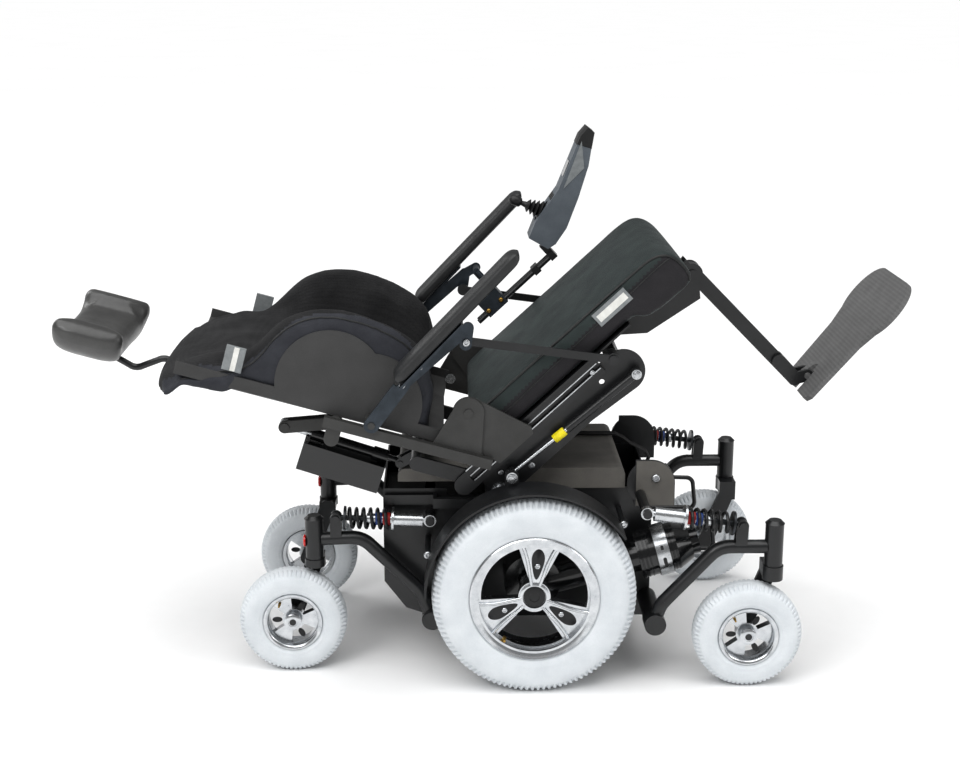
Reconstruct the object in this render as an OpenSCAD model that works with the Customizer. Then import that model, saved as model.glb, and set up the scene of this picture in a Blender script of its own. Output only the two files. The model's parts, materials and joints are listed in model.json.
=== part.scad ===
// Power wheelchair with a mid-wheel drive base, six wheels, tilt-in-space seat and reclining back.
// The drive axle crosses the part at x = axle_x. +X is forward, +Y is the sitter's left, +Z is up.

/* [Drive wheels] */
// Outer radius of a drive tyre
drive_r = 178; // [165:1:185]
// Width of a drive tyre
drive_w = 76; // [56:1:78]
// Radius where the tyre seats on the rim
drive_seat_r = 112; // [96:1:125]
// Distance from the centre plane to a drive tyre's centre plane
drive_y = 252; // [252:1:280]
// Radius of the drive shaft
shaft_r = 12; // [8:0.5:15]

/* [Casters] */
// Outer radius of a caster tyre
caster_r = 96; // [80:1:98]
// Width of a caster tyre
caster_w = 50; // [36:1:52]
// Radius where a caster tyre seats on its rim
caster_seat_r = 52; // [44:1:58]
// Distance a caster wheel trails behind its swivel axis
caster_trail = 41; // [30:1:45]
// Radius of a caster swivel stem
stem_r = 9; // [6:0.5:10]
// Radius of a caster axle
caster_axle_r = 6; // [5:0.5:8]
// Distance from the drive axle back to the rear swivel axes
rear_swivel = 387; // [380:1:420]
// Distance from the drive axle forward to the front swivel axes
front_swivel = 418; // [410:1:450]
// Distance from the centre plane to a rear swivel axis
rear_y = 165; // [160:1:168]
// Distance from the centre plane to a front swivel axis
front_y = 244; // [238:1:256]

/* [Suspension] */
// Radius of the arm tubes
arm_r = 12; // [10:0.5:13]
// Radius of the arm pivot pins
arm_pin_r = 9; // [6:0.5:11]
// Radius of the shock absorber's eye pins
shock_pin_r = 5; // [3:0.5:6]
// Radius of the shock absorber's piston rod
shock_rod_r = 5; // [3.5:0.5:6]
// Wire radius of the coil springs
wire_r = 3; // [2:0.25:3.5]
// Turns in each coil spring
spring_turns = 6; // [4:1:7]

/* [Chassis] */
// Half width of the welded chassis box
pan_y = 132; // [116:1:133]
// Sheet thickness of the chassis box
pan_t = 3; // [2:0.5:4]
// Height of the deck cover's top
deck_z = 368; // [356:1:369]
// Radius of each drive motor
motor_r = 42; // [34:1:43]
// Rise of the motor axes towards the front
motor_deg = 15.5; // [12:0.5:17]

/* [Seat] */
// Seat tilt at rest, measured from level
tilt_deg = 43; // [40:1:45]
// Height of the tilt pivots
tilt_z = 349; // [346:1:360]
// Radius of the tilt pivot pins
tilt_pin_r = 7; // [5:0.5:8]
// Half width of the seat cushion
cushion_y = 203; // [180:1:204]
// Thickness of the seat cushion over the pan
cushion_t = 68; // [50:1:70]
// Length of the seat cushion
cushion_len = 468; // [420:1:480]
// Height of the slotted seat rails
rail_h = 34; // [28:1:36]

/* [Back and headrest] */
// Recline at rest, measured from square to the seat
recline_deg = 31.5; // [25:0.5:34]
// Length of the back shell
back_len = 480; // [430:1:500]
// Radius of the recline pivot pins
recline_pin_r = 8; // [5:0.5:9]
// Radius of the headrest stem
stem_bar_r = 6; // [4:0.5:7]
// Height of the headrest pad
headrest_h = 130; // [100:1:140]

/* [Armrests and controls] */
// Length of an armrest pad
pad_len = 300; // [240:1:320]
// Width of an armrest pad
pad_w = 58; // [44:1:60]
// Distance that the left armrest pad is set further forward
pad_shift = 38; // [0:1:45]
// Length of the joystick pod
pod_len = 240; // [200:1:260]

/* [Leg support] */
// Distance from the leg hinge down to the footplate hinge
leg_len = 290; // [240:1:300]
// Length of the footplate from its heel to its toe
foot_len = 274; // [230:1:290]

/* [Hidden] */
$fn = 48;
right = -1;
left = 1;
// Clearances: a running fit, a gap between parts that pass each other, and a gap between seated parts
run = 0.05;
gap = 0.3;
// Distance from the origin forward to the drive axle
axle_x = 84.985;

// Suspension points, measured from the drive axle in the X-Z plane
rear_pivot = [-178, 95];
front_pivot = [213, 118];
rear_eye = [-181, 281];
rear_lug = [-348, 287];
front_eye = [195, 320];
front_lug = [361, 298];
rear_tube_z = 247;
front_tube_z = 257;
barrel_r = 16;
rear_barrel = [212, 286];
front_barrel = [223, 300];

// Widths across the chair, as distances from the centre plane
deck_y = pan_y + 6;
bar_y = deck_y + 14;
bar_w = 12;
cheek = 6;
carriage_out = bar_y + bar_w + 10;
rail_in = carriage_out + 5;
rail_w = 16;
rail_out = rail_in + rail_w;
strut_y = rail_out + 9.5;
hip_in = strut_y + 9;
hip_t = 5;
lug_in = hip_in + hip_t + 1.5;
lug_t = 5;
lobe_in = hip_in + hip_t + 1;
lobe_t = 5;
link_in = hip_in;
link_t = 5;
cane_w = 16;
bracket_in = lobe_in + cane_w + 2;
bracket_t = 6;
pad_y = 252;

// Rear end of the seat rails, tilt pivots, guide bars and recline pivots
rail_at = [-115, tilt_z];
tilt_at = [39, -43];
tilt_stroke = 80;
carriage_half = 26;
bar_z = [302, 320];
cross_z = 330;
recline_s = 101;
recline_n = 105;
rail_n = 8;
rail_end = 318;
pan_n = rail_n + rail_h / 2;
pan_sheet = 3;
belt_at = [300, -20];
belt_r = 5;
strut_low = [-38, 380];
strut_high = [355, -44];
link_pin = [344, 4];
link_top = [183, 200];
arm_pivot = [155, -59];
leg_hinge = [536, -26];
leg_pin_r = 8;
foot_at = [30, -leg_len];
actuator_tube = [-34, 92];
fork_pin = [-68, 101];
crank_pin = [299, -135];
actuator_y = -120;
joy_y = 193;
joy_s = 229;
joy_n = 137;
joy_block = [189, 129, 47, 50];
joy_rods = [-9, 9];

// ---------- shared shapes ----------

module both() {
    children();
    mirror([0, 1, 0]) children();
}

// Turns a flat outline in X-Z into a plate that spans y0 to y0 + t
module plate(y0, t) {
    translate([0, y0 + t, 0]) rotate([90, 0, 0]) linear_extrude(t) children();
}

// How much fuller a round end is than the straight sides that run into it
end_swell = 0.06;

// Flat bar with round ends between two points of a flat outline
module bar2d(p, q, r) {
    v = q - p;
    half = r - end_swell;
    translate(p) circle(r);
    translate(q) circle(r);
    translate(p) rotate(atan2(v[1], v[0])) translate([0, -half]) square([norm(v), 2 * half]);
}

// Cylinder along Y at a point of the X-Z plane, from y0 to y1
module pin_y(p, y0, y1, r) {
    translate([p[0], y1, p[1]]) rotate([90, 0, 0]) cylinder(h = y1 - y0, r = r);
}

// Everything inside is drawn along a line from p to q of the X-Z plane, +X towards q
module along(p, q) {
    v = q - p;
    translate([p[0], 0, p[1]]) rotate([0, -atan2(v[1], v[0]), 0]) children();
}

// Cylinder along X from x0 to x1
module rod_x(x0, x1, r) {
    translate([x0, 0, 0]) rotate([0, 90, 0]) cylinder(h = x1 - x0, r = r);
}

function unit(v) = v / norm(v);
function turn(p, q, r) = cross(unit(q - p), unit(r - q));
function turn_deg(p, q, r) = asin(turn(p, q, r));
// Distance from a corner back to where its bend starts
function setback(p, q, r, bend) = bend * tan(abs(turn_deg(p, q, r)) / 2);

// How far a straight length runs into a bend, and how much fuller the bend is
bend_lap = 1.5;
bend_swell = 0.15;

// Round tube along corner points of the X-Z plane, with a bend of the given radius at each corner
module bent_tube(pts, r, bend) {
    last = len(pts) - 1;
    for (i = [0:last - 1]) {
        v = unit(pts[i + 1] - pts[i]);
        a = i == 0 ? 0 : setback(pts[i - 1], pts[i], pts[i + 1], bend);
        b = i == last - 1 ? 0 : setback(pts[i], pts[i + 1], pts[i + 2], bend);
        from = pts[i] + v * (i == 0 ? 0 : a - bend_lap);
        to = pts[i + 1] - v * (i == last - 1 ? 0 : b - bend_lap);
        along(from, to) rod_x(0, norm(to - from), r);
    }
    for (i = [1:last - 1]) {
        deg = turn_deg(pts[i - 1], pts[i], pts[i + 1]);
        v = unit(pts[i] - pts[i - 1]);
        side = sign(deg);
        start = pts[i] - v * setback(pts[i - 1], pts[i], pts[i + 1], bend);
        centre = start + side * bend * [-v[1], v[0]];
        from_deg = atan2(v[1], v[0]) - side * 90;
        translate([centre[0], 0, centre[1]]) rotate([90, 0, 0]) rotate([0, 0, min(from_deg, from_deg + deg)])
            rotate_extrude(angle = abs(deg)) translate([bend, 0]) circle(r + bend_swell);
    }
}

module at_base() {
    translate([axle_x, 0, 0]) children();
}

// Seat frame: X runs forward along the seat, Z stands square to it, from the rails' rear ends
module at_seat() {
    at_base() translate([rail_at[0], 0, rail_at[1]]) rotate([0, -tilt_deg, 0]) children();
}

// World position, from the drive axle, of a point of the seat frame
function seat_point(p) = let (c = cos(tilt_deg), s = sin(tilt_deg))
    rail_at + [p[0] * c - p[1] * s, p[0] * s + p[1] * c];

// Back frame: Z runs up the back, X points at the sitter, from the recline pivots
module at_back() {
    at_seat() translate([recline_s, 0, recline_n]) rotate([0, -recline_deg, 0]) children();
}

// Side outline in the back frame, given as [height up the back, distance towards the sitter]
function tm(p) = [p[1], p[0]];

// ---------- base ----------

module pan_outline(d) {
    polygon([[-265 + d, 152 + d * 0.4], [-226 + d * 0.6, 100 + d], [-176, 82 + d], [218 - d, 82 + d],
        [218 - d, 330], [-265 + d, 330]]);
}

module chassis_frame() {
    color("#1b1c1e") at_base() {
        difference() {
            plate(-pan_y, 2 * pan_y) pan_outline(0);
            plate(-pan_y + pan_t, 2 * (pan_y - pan_t)) pan_outline(pan_t);
            translate([-300, -200, 329]) cube([600, 400, 20]);
            // Slots where the tilt carriage's cross tube passes
            translate([seat_point(tilt_at)[0] - tilt_stroke - 14, -200, cross_z - 12])
                cube([tilt_stroke + 28, 400, 30]);
        }
        both() {
            tie_down_loop();
            guide_bar();
            rear_mounts();
            front_mounts();
        }
    }
}

module tie_down_loop() {
    y = 112;
    loop_r = 4;
    translate([0, y, 0]) bent_tube([[214, 268], [330, 264], [337, 203], [214, 203]], loop_r, 14);
}

module guide_bar() {
    rear_end = seat_point(tilt_at)[0] - tilt_stroke - carriage_half - 12;
    front_end = seat_point(tilt_at)[0] + carriage_half + 8;
    strip_end = -262;
    // Flat strip behind the bar, on two studs
    plate(deck_y + 0.5, 4) polygon([[strip_end, bar_z[0]], [rear_end + 6, bar_z[0]], [rear_end + 6, bar_z[1]],
        [strip_end, bar_z[1]]]);
    pin_y([strip_end + 14, 311], pan_y - 1, deck_y + 2, 6);
    plate(bar_y, bar_w) polygon([[rear_end, bar_z[0]], [front_end, bar_z[0]], [front_end, bar_z[1]],
        [rear_end, bar_z[1]]]);
    for (x = [rear_end, front_end - 6]) {
        translate([x, pan_y - 1, bar_z[0]]) cube([6, bar_y - pan_y + 2, bar_z[1] - bar_z[0]]);
    }
}

module rear_mounts() {
    pin_y(rear_pivot, pan_y - 1, rear_y - 16, 17);
    pin_y(rear_pivot, pan_y - 1, rear_y + 18, arm_pin_r);
    pin_y(rear_pivot, rear_y + 15 + gap, rear_y + 19, 17);
    pin_y(rear_eye, pan_y - 1, rear_y - 6 - gap, 9);
    pin_y(rear_eye, pan_y - 1, rear_y + 8, shock_pin_r);
    pin_y(rear_eye, rear_y + 6 + gap, rear_y + 11, 8);
}

module front_mounts() {
    pin_y(front_pivot, pan_y - 1, front_y - 15, 17);
    pin_y(front_pivot, pan_y - 1, front_y + 18, arm_pin_r);
    pin_y(front_pivot, front_y + 15 + gap, front_y + 19, 19);
    pin_y(front_eye, pan_y - 1, front_y - 6 - gap, 9);
    pin_y(front_eye, pan_y - 1, front_y + 8, shock_pin_r);
    pin_y(front_eye, front_y + 6 + gap, front_y + 11, 8);
    // Quarter-round plate beside the front shock's outrigger
    plate(deck_y + 2, 4) {
        translate([186, 297]) square([28, 86]);
        translate([186, 297]) square([71, 43]);
        translate([214, 340]) circle(43);
    }
    pin_y([205, 312], pan_y - 1, deck_y + 3, 10);
}

module power_pack() {
    battery_len = 172;
    battery_y = pan_y - pan_t - 1;
    battery_h = 205;
    floor_z = 82 + pan_t;
    color("#2c2f33") at_base() {
        for (x = [-173, 2]) {
            translate([x, -battery_y, floor_z]) cube([battery_len, 2 * battery_y, battery_h]);
            for (y = [-70, 70]) {
                translate([x + 30, y, floor_z + battery_h - 1]) cylinder(h = 9, r = 9);
            }
        }
        // Power module on the rear wall
        translate([-265 + pan_t, -88, 196]) cube([70, 176, 92]);
        // Tilt actuator over the batteries, bored for its rod
        difference() {
            union() {
                translate([0, 0, cross_z]) rod_x(-44, 150, 22);
                translate([20, -22, floor_z + battery_h + 0.1]) cube([110, 44, 34]);
            }
            translate([0, 0, cross_z]) rod_x(-60, 130, 8 + run);
        }
    }
}

module deck_cover() {
    front_end = 168;
    rear_end = -238;
    skirt_z = 330;
    t = 3;
    color("#6b6862") at_base() difference() {
        plate(-deck_y, 2 * deck_y) deck_outline(rear_end, front_end, skirt_z, 0);
        plate(-deck_y + t, 2 * (deck_y - t)) deck_outline(rear_end, front_end, skirt_z, t);
        // Opening for the tilt carriage's cross tube
        translate([-260, -200, skirt_z - 10]) cube([220, 400, 24]);
        // Cable gland
        translate([92, 64, deck_z - 10]) cylinder(h = 20, r = 9);
    }
}

module deck_outline(x0, x1, z0, t) {
    r = 14;
    translate([x0 + t, z0 - (t > 0 ? 1 : 0)]) square([x1 - x0 - 2 * t, deck_z - z0 - r]);
    translate([x0 + r, deck_z - r - 2]) square([x1 - x0 - 2 * r, r + 2 - t]);
    translate([x0 + r, deck_z - r]) circle(r - t);
    translate([x1 - r, deck_z - r]) circle(r - t);
}

module fenders() {
    inner = drive_r + 9;
    t = 4;
    from_deg = 35;
    to_deg = 180;
    y0 = drive_y - drive_w / 2 + 2;
    color("#161718") at_base() both() {
        translate([0, 0, drive_r]) rotate([90, 0, 0]) rotate([0, 0, from_deg])
            rotate_extrude(angle = to_deg - from_deg) fender_section(inner, t, y0);
        // Lug that carries the gas strut's lower eye
        plate(lug_in, lug_t) bar2d(strut_low, [strut_low[0], drive_r + inner + 5], 12);
        pin_y(strut_low, lug_in + lug_t - 1, lug_in + lug_t + 4, 9);
        // Stays to the chassis
        stay([-185, 236], y0);
        stay([158, 290], y0);
    }
}

// Section across the fender: the arched sheet and a turned-in lip on its inboard edge
module fender_section(inner, t, y0) {
    translate([inner, -y0 - drive_w + 6]) square([t, drive_w - 6]);
    translate([inner - 4, 0.5 - y0 - t]) square([7.5, t - 0.5]);
}

module stay(p, y1) {
    pin_y(p, pan_y, y1 + 2, 5);
    plate(y1 + 0.7, 2.6) bar2d(p, p + 12 * unit([0, drive_r] - p), 8);
}

// Along a motor's axis from the drive axle, +X towards the motor's front end
module at_motor() {
    motor_y = 182;
    translate([0, motor_y, drive_r - 12]) rotate([0, -motor_deg, 0]) children();
}

module drive_motors() {
    color("#111214") at_base() both() {
        // Gearbox and drive shaft
        pin_y([0, drive_r], pan_y, 206, 50);
        pin_y([0, drive_r], 205, drive_y + 12, shaft_r);
        at_motor() {
            rod_x(0, 200, 28);
            rod_x(196, 266, motor_r);
            translate([266, 0, 0]) rotate([0, 90, 0]) cylinder(h = 26, r1 = motor_r, r2 = 30);
            rod_x(291, 306, 24);
            // Clamp band that carries the motor
            rod_x(226, 253, motor_r + 3);
        }
    }
}

// Cable route, from the deck's gland over its front edge and down to the chassis front
harness = [[92, 64, 369], [98, 64, 371.8], [120, 62, 371.8], [150, 62, 371.8], [170, 63, 371],
    [186, 65, 362], [200, 68, 350], [216, 74, 341], [232, 82, 330], [240, 90, 314], [236, 96, 300],
    [226, 98, 294], [218.4, 98, 294]];

function ring_frame(p, i) = let (a = p[max(i - 1, 0)], b = p[min(i + 1, len(p) - 1)], d = unit(b - a),
    s = unit(cross(d, [0, 1, 0]))) [s, cross(d, s)];

function tube_points(p, r, n) = [for (i = [0:len(p) - 1]) let (f = ring_frame(p, i))
    for (k = [0:n - 1]) p[i] + r * (cos(360 * k / n) * f[0] + sin(360 * k / n) * f[1])];

function tube_faces(m, n) = concat(
    [[for (k = [0:n - 1]) k]],
    [for (i = [0:m - 2]) for (k = [0:n - 1]) let (a = i * n + k, b = i * n + (k + 1) % n)
        [a, a + n, b + n, b]],
    [[for (k = [n - 1:-1:0]) (m - 1) * n + k]]);

module swept_tube(p, r, n) {
    polyhedron(points = tube_points(p, r, n), faces = tube_faces(len(p), n));
}

module seat_harness() {
    cable_r = 3;
    color("#0e0e0f") at_base() for (dy = [0, 8]) {
        translate([0, dy - 4, 0]) swept_tube(harness, cable_r, 8);
    }
}

// ---------- suspension arms ----------

module barrel(x, y, z) {
    difference() {
        union() {
            translate([x, y, z[0]]) cylinder(h = z[1] - z[0], r = barrel_r);
            translate([x, y, z[1]]) cylinder(h = 6, r1 = barrel_r + 1, r2 = barrel_r - 5);
        }
        translate([x, y, z[0] - 1]) cylinder(h = z[1] - z[0] - 7, r = stem_r + run);
    }
}

// Clevis ears that stand on the arm beside the shock's rod eye
module lug_ears(p, root, y) {
    for (dy = [-11, 6]) {
        plate(y + dy, 5) bar2d(p, root, 10);
    }
    for (dy = [-14, 11]) {
        pin_y(p, y + dy - 1, y + dy + 3.5, 7);
    }
}

module arm_hub(p, y) {
    pin_y(p, y - 15, y + 15, 19);
}

module arm_rear(side) {
    y = side * rear_y;
    x = -rear_swivel;
    color("#161719") at_base() difference() {
        union() {
            barrel(x, y, rear_barrel);
            translate([0, y, 0]) bent_tube([[x + barrel_r - 3, rear_tube_z], [-303, 250], [-200, 148],
                rear_pivot + [-5, 12]], arm_r, 46);
            arm_hub(rear_pivot, y);
            lug_ears(rear_lug, [-348, 250], y);
        }
        pin_y(rear_pivot, y - 20, y + 20, arm_pin_r + run);
    }
}

module arm_front(side) {
    y = side * front_y;
    x = front_swivel;
    color("#161719") at_base() difference() {
        union() {
            barrel(x, y, front_barrel);
            translate([0, y, 0]) bent_tube([front_pivot + [4, 11], [224, 150], [322, front_tube_z],
                [x - barrel_r + 3, front_tube_z]], arm_r, 46);
            arm_hub(front_pivot, y);
            lug_ears(front_lug, [359, 260], y);
        }
        pin_y(front_pivot, y - 20, y + 20, arm_pin_r + run);
    }
}

// ---------- casters ----------

// Single-sided fork: stem, crown block, inboard blade and axle
module fork(x, y, side, z) {
    crown_z = caster_r + 101;
    blade_in = caster_w / 2 + 4;
    blade_t = 9;
    wheel = [x - caster_trail, caster_r];
    color("#141516") at_base() {
        translate([x, y, crown_z]) cylinder(h = z[0] - crown_z - gap, r = barrel_r + 2);
        translate([x, y, crown_z + 2]) cylinder(h = z[1] - crown_z - 14, r = stem_r);
        translate([x, y, 0]) scale([1, -side, 1]) {
            translate([-16, 0, crown_z]) cube([32, blade_in + blade_t, z[0] - crown_z - gap]);
        }
        y0 = side > 0 ? y - blade_in - blade_t : y + blade_in;
        plate(y0, blade_t) {
            bar2d(wheel, [x, crown_z + 4], 15);
            translate([x - 16, crown_z - 12]) square([32, 12 + z[0] - crown_z - gap]);
        }
        tip = caster_w / 2 - 2;
        pin_y(wheel, side > 0 ? y - blade_in : y - tip, side > 0 ? y + tip : y + blade_in, caster_axle_r);
    }
}

module caster_tyre(x, y) {
    half = caster_w / 2;
    color("#d3d7da") at_base() translate([x - caster_trail, y, caster_r]) rotate([90, 0, 0]) rotate_extrude()
        difference() {
            union() {
                translate([caster_r - half, 0]) circle(half);
                translate([caster_seat_r, -half + 3]) square([caster_r - half - caster_seat_r, 2 * half - 6]);
            }
            translate([0, -half - 1]) square([caster_seat_r, 2 * half + 2]);
        }
}

module caster_rim(x, y) {
    rim_r = caster_seat_r - 0.3;
    half = caster_w / 2 - 4;
    color("#c4c7ca") at_base() translate([x - caster_trail, y, caster_r]) rotate([90, 0, 0]) difference() {
        union() {
            translate([0, 0, -half]) cylinder(h = 2 * half, r = rim_r);
            translate([0, 0, -half - 1]) cylinder(h = 2 * half + 2, r = 12);
        }
        for (a = [0, 180]) {
            rotate([a, 0, 0]) translate([0, 0, 8]) rotate_extrude() translate([12, 0]) square([rim_r - 18, half]);
        }
        for (k = [0:2]) {
            rotate([0, 0, 120 * k + 25]) rotate_extrude(angle = 70) translate([20, -20]) square([rim_r - 28, 40]);
        }
        translate([0, 0, -40]) cylinder(h = 80, r = caster_axle_r + run);
    }
}

// ---------- shock absorbers ----------

// Distances along each shock from its chassis eye towards the arm lug
shock_flange = 64;
shock_guide = 112;
shock_seat = 149;

module shock_body(eye, lug, y) {
    color("#c9cbce") at_base() translate([0, y, 0]) along(eye, lug) difference() {
        union() {
            pin_y([0, 0], -6, 6, 11);
            rod_x(6, 16, 6);
            rod_x(13, shock_flange, 12.5);
            rod_x(shock_flange, shock_flange + 4, 22);
            rod_x(shock_flange, shock_guide, 9);
        }
        pin_y([0, 0], -8, 8, shock_pin_r + run);
        rod_x(36, shock_guide + 1, shock_rod_r + run);
    }
}

module shock_rod(eye, lug, y) {
    length = norm(lug - eye);
    color("#3a3b3d") at_base() translate([0, y, 0]) along(eye, lug) {
        rod_x(72, length - 6, shock_rod_r);
        rod_x(shock_seat, shock_seat + 4, 21);
        pin_y([length, 0], -5.5, 5.5, 9);
    }
}

// Points of a coil of the given turns, length and mean radius, along +X
function coil(turns, length, r, steps) = [for (i = [0:turns * steps])
    [length * i / (turns * steps), r * cos(360 * i / steps), r * sin(360 * i / steps)]];

function coil_frame(p, i) = let (d = unit(p[min(i + 1, len(p) - 1)] - p[max(i - 1, 0)]),
    out = unit([0, p[i][1], p[i][2]])) [out, cross(d, out)];

function coil_points(p, r, n) = [for (i = [0:len(p) - 1]) let (f = coil_frame(p, i))
    for (k = [0:n - 1]) p[i] + r * (cos(360 * k / n) * f[0] + sin(360 * k / n) * f[1])];

module spring(eye, lug, y) {
    from = shock_flange + 4 + gap + wire_r;
    path = coil(spring_turns, shock_seat - gap - wire_r - from, 17, 14);
    color("#141415") at_base() translate([0, y, 0]) along(eye, lug) translate([from, 0, 0])
        polyhedron(points = coil_points(path, wire_r, 8), faces = tube_faces(len(path), 8));
}

// ---------- drive wheels ----------

module drive_tyre(side) {
    half = drive_w / 2;
    shoulder = 24;
    color("#d3d7da") at_base() translate([0, side * drive_y, drive_r]) rotate([90, 0, 0]) rotate_extrude() {
        for (s = [-1, 1]) {
            translate([drive_r - shoulder, s * (half - shoulder)]) circle(shoulder);
        }
        translate([drive_r - shoulder, -half + shoulder]) square([shoulder, 2 * (half - shoulder)]);
        translate([drive_seat_r, -half]) square([drive_r - shoulder - drive_seat_r, 2 * half]);
    }
}

module drive_rim(side) {
    rim_r = drive_seat_r - 0.3;
    half = drive_w / 2 - 5;
    hub_r = 24;
    lip = 15;
    color("#c4c7ca") at_base() translate([0, side * drive_y, drive_r]) rotate([side * -90, 0, 0]) difference() {
        union() {
            translate([0, 0, -half]) cylinder(h = 2 * half, r = rim_r);
        }
        // Dished outer face and hollow inner side
        translate([0, 0, half - 12]) cylinder(h = 13, r = rim_r - lip);
        translate([0, 0, -half - 1]) rotate_extrude() translate([hub_r, 0]) square([rim_r - lip + 4 - hub_r, half + 6]);
        for (k = [0:2]) {
            rotate([0, 0, 120 * k - 13]) rotate_extrude(angle = 76) translate([hub_r + 4, -half - 1])
                square([rim_r - lip - hub_r - 8, 2 * half + 2]);
        }
        translate([0, 0, -half - 1]) cylinder(h = half + 21, r = shaft_r + run);
    }
}

// ---------- tilt carriage ----------

module tilt_carriage() {
    half = carriage_half;
    pivot = seat_point(tilt_at);
    color("#202225") at_base() {
        both() {
            difference() {
                translate([pivot[0] - half, bar_y - cheek, bar_z[0]])
                    cube([2 * half, carriage_out - bar_y + cheek, pivot[1] + 13 - bar_z[0]]);
                translate([pivot[0] - half - 1, bar_y - gap, bar_z[0] - 1])
                    cube([2 * half + 2, bar_w + 2 * gap, bar_z[1] - bar_z[0] + 1 + gap]);
            }
            pin_y(pivot, carriage_out - 1, rail_in + 11, tilt_pin_r);
            pin_y(pivot, rail_in + 7 + gap, rail_in + 11, tilt_pin_r + 4);
        }
        // Cross tube and the tilt actuator's rod
        pin_y([pivot[0], cross_z], -bar_y + 1, bar_y - 1, 8);
        translate([0, 0, cross_z]) rod_x(pivot[0], 90, 8);
    }
}

// ---------- seat ----------

module seat_frame() {
    color("#17181a") at_seat() {
        both() {
            seat_rail();
            // Side plate below the rail, with its round front end
            difference() {
                plate(rail_in + 1, 6) {
                    polygon([[26, 0], [26, -43], [39, -57], [79, -62], [241, -60], [340, -69], [340, 7]]);
                    translate([340, -31]) circle(38);
                    translate(tilt_at) circle(14);
                    translate(link_pin) circle(11);
                }
                pin_y(tilt_at, 150, 250, tilt_pin_r + run);
                pin_y(belt_at, 150, 250, belt_r);
            }
            // Pin for the gas strut's upper eye
            pin_y(strut_high, rail_in + 6, strut_y + 8, 5);
            // Rear upright to the recline actuator's cross tube
            plate(rail_in + 1, 8) bar2d([16, 10], actuator_tube, 13);
            pin_y(link_pin, rail_in + 6, link_in + link_t + 3, 5);
            pin_y(link_pin, link_in + link_t + gap, link_in + link_t + 4, 8);
            // Front cross member under the pan and the ears of the leg hinge
            translate([330, -1, -9]) cube([24, rail_in + 3, 13]);
            plate(14, 6) {
                polygon([[330, -9], [352, -9], [404, -52], [517, -70], [534, -47], [545, -34], [545, 2], [500, -6], [350, 4]]);
                translate(leg_hinge) circle(19);
            }
            plate(14, 6) translate([330, -4]) square([24, 30]);
        }
        seat_pan();
        pin_y(leg_hinge, -24, 24, leg_pin_r);
        pin_y(actuator_tube, -rail_in - 2, rail_in + 2, 11);
        // Fork that carries the recline actuator
        for (y = [actuator_y - 14, actuator_y + 8]) {
            plate(y, 6) bar2d(actuator_tube, fork_pin, 8.5);
        }
        pin_y(fork_pin, actuator_y - 17, actuator_y + 17, 5);
    }
}

module seat_rail() {
    bottom = rail_n - rail_h / 2;
    difference() {
        plate(rail_in, rail_w) {
            translate([0, bottom]) square([rail_end, rail_h]);
            translate([0, rail_n]) circle(rail_h / 2);
        }
        // Accessory slot: a narrow mouth and a wide inside
        translate([18, rail_out - 3, rail_n - 4]) cube([rail_end, 4, 8]);
        translate([18, rail_out - 7, rail_n - 7]) cube([rail_end, 4.01, 14]);
    }
}

module seat_pan() {
    rear_end = 40;
    front_end = 404;
    translate([rear_end, -cushion_y, pan_n - 0.5]) cube([front_end - rear_end, 2 * cushion_y, pan_sheet + 0.5]);
}

// Fixed hip plates, their spacers to the rails and the recline pivot pins
module hip_plates() {
    spacer_at = [[86, 12], [116, 15]];
    pivot = [recline_s, recline_n];
    color("#3c3d3f") at_seat() both() {
        plate(hip_in, hip_t) {
            translate(pivot) circle(27);
            polygon([pivot + [-27, 0], [66, 40], [78, 1], [156, 1], [162, 12], pivot + [24, 14]]);
        }
        for (p = spacer_at) {
            pin_y(p, rail_out, hip_in + 1, 6);
        }
        pin_y(pivot, hip_in + 1, lobe_in + lobe_t + 2, recline_pin_r);
    }
}

module seat_cushion() {
    rear = 76;
    front = rear + cushion_len;
    low = pan_n + pan_sheet + gap;
    top = low + cushion_t;
    nose_at = 412;
    nose_low = 4;
    edge = 26;
    color("#343d3c") at_seat() plate(-cushion_y, 2 * cushion_y) {
        translate([rear, low]) square([front - rear - edge, top - low - edge]);
        translate([rear + edge, low]) square([front - rear - 2 * edge, top - low]);
        translate([rear + edge, top - edge]) circle(edge);
        translate([front - edge, top - edge]) circle(edge);
        translate([front - edge - 6, nose_low]) square([edge + 6, top - nose_low - edge]);
        polygon([[nose_at, low], [nose_at + 12, nose_low + 6], [front - edge, nose_low], [front - edge, top - 5],
            [nose_at, top - 5]]);
    }
}

// ---------- gas struts ----------

function strut_top() = seat_point(strut_high);

module strut_rods() {
    color("#b8babd") at_base() both() translate([0, strut_y, 0]) along(strut_low, strut_top()) {
        pin_y([0, 0], -6, 6, 10);
        pin_y([0, 0], -7.5, lug_in - strut_y - gap, 5);
        rod_x(6, 188, 4);
    }
}

module strut_cylinders() {
    length = norm(strut_top() - strut_low);
    color("#131314") at_base() both() translate([0, strut_y, 0]) along(strut_low, strut_top()) difference() {
        union() {
            rod_x(124, length - 9, 7.5);
            pin_y([length, 0], -6, 6, 10);
            rod_x(length - 12, length - 4, 5);
        }
        pin_y([length, 0], -8, 8, 5 + run);
        rod_x(110, 257, 4 + run);
    }
}

// ---------- back ----------

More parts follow.
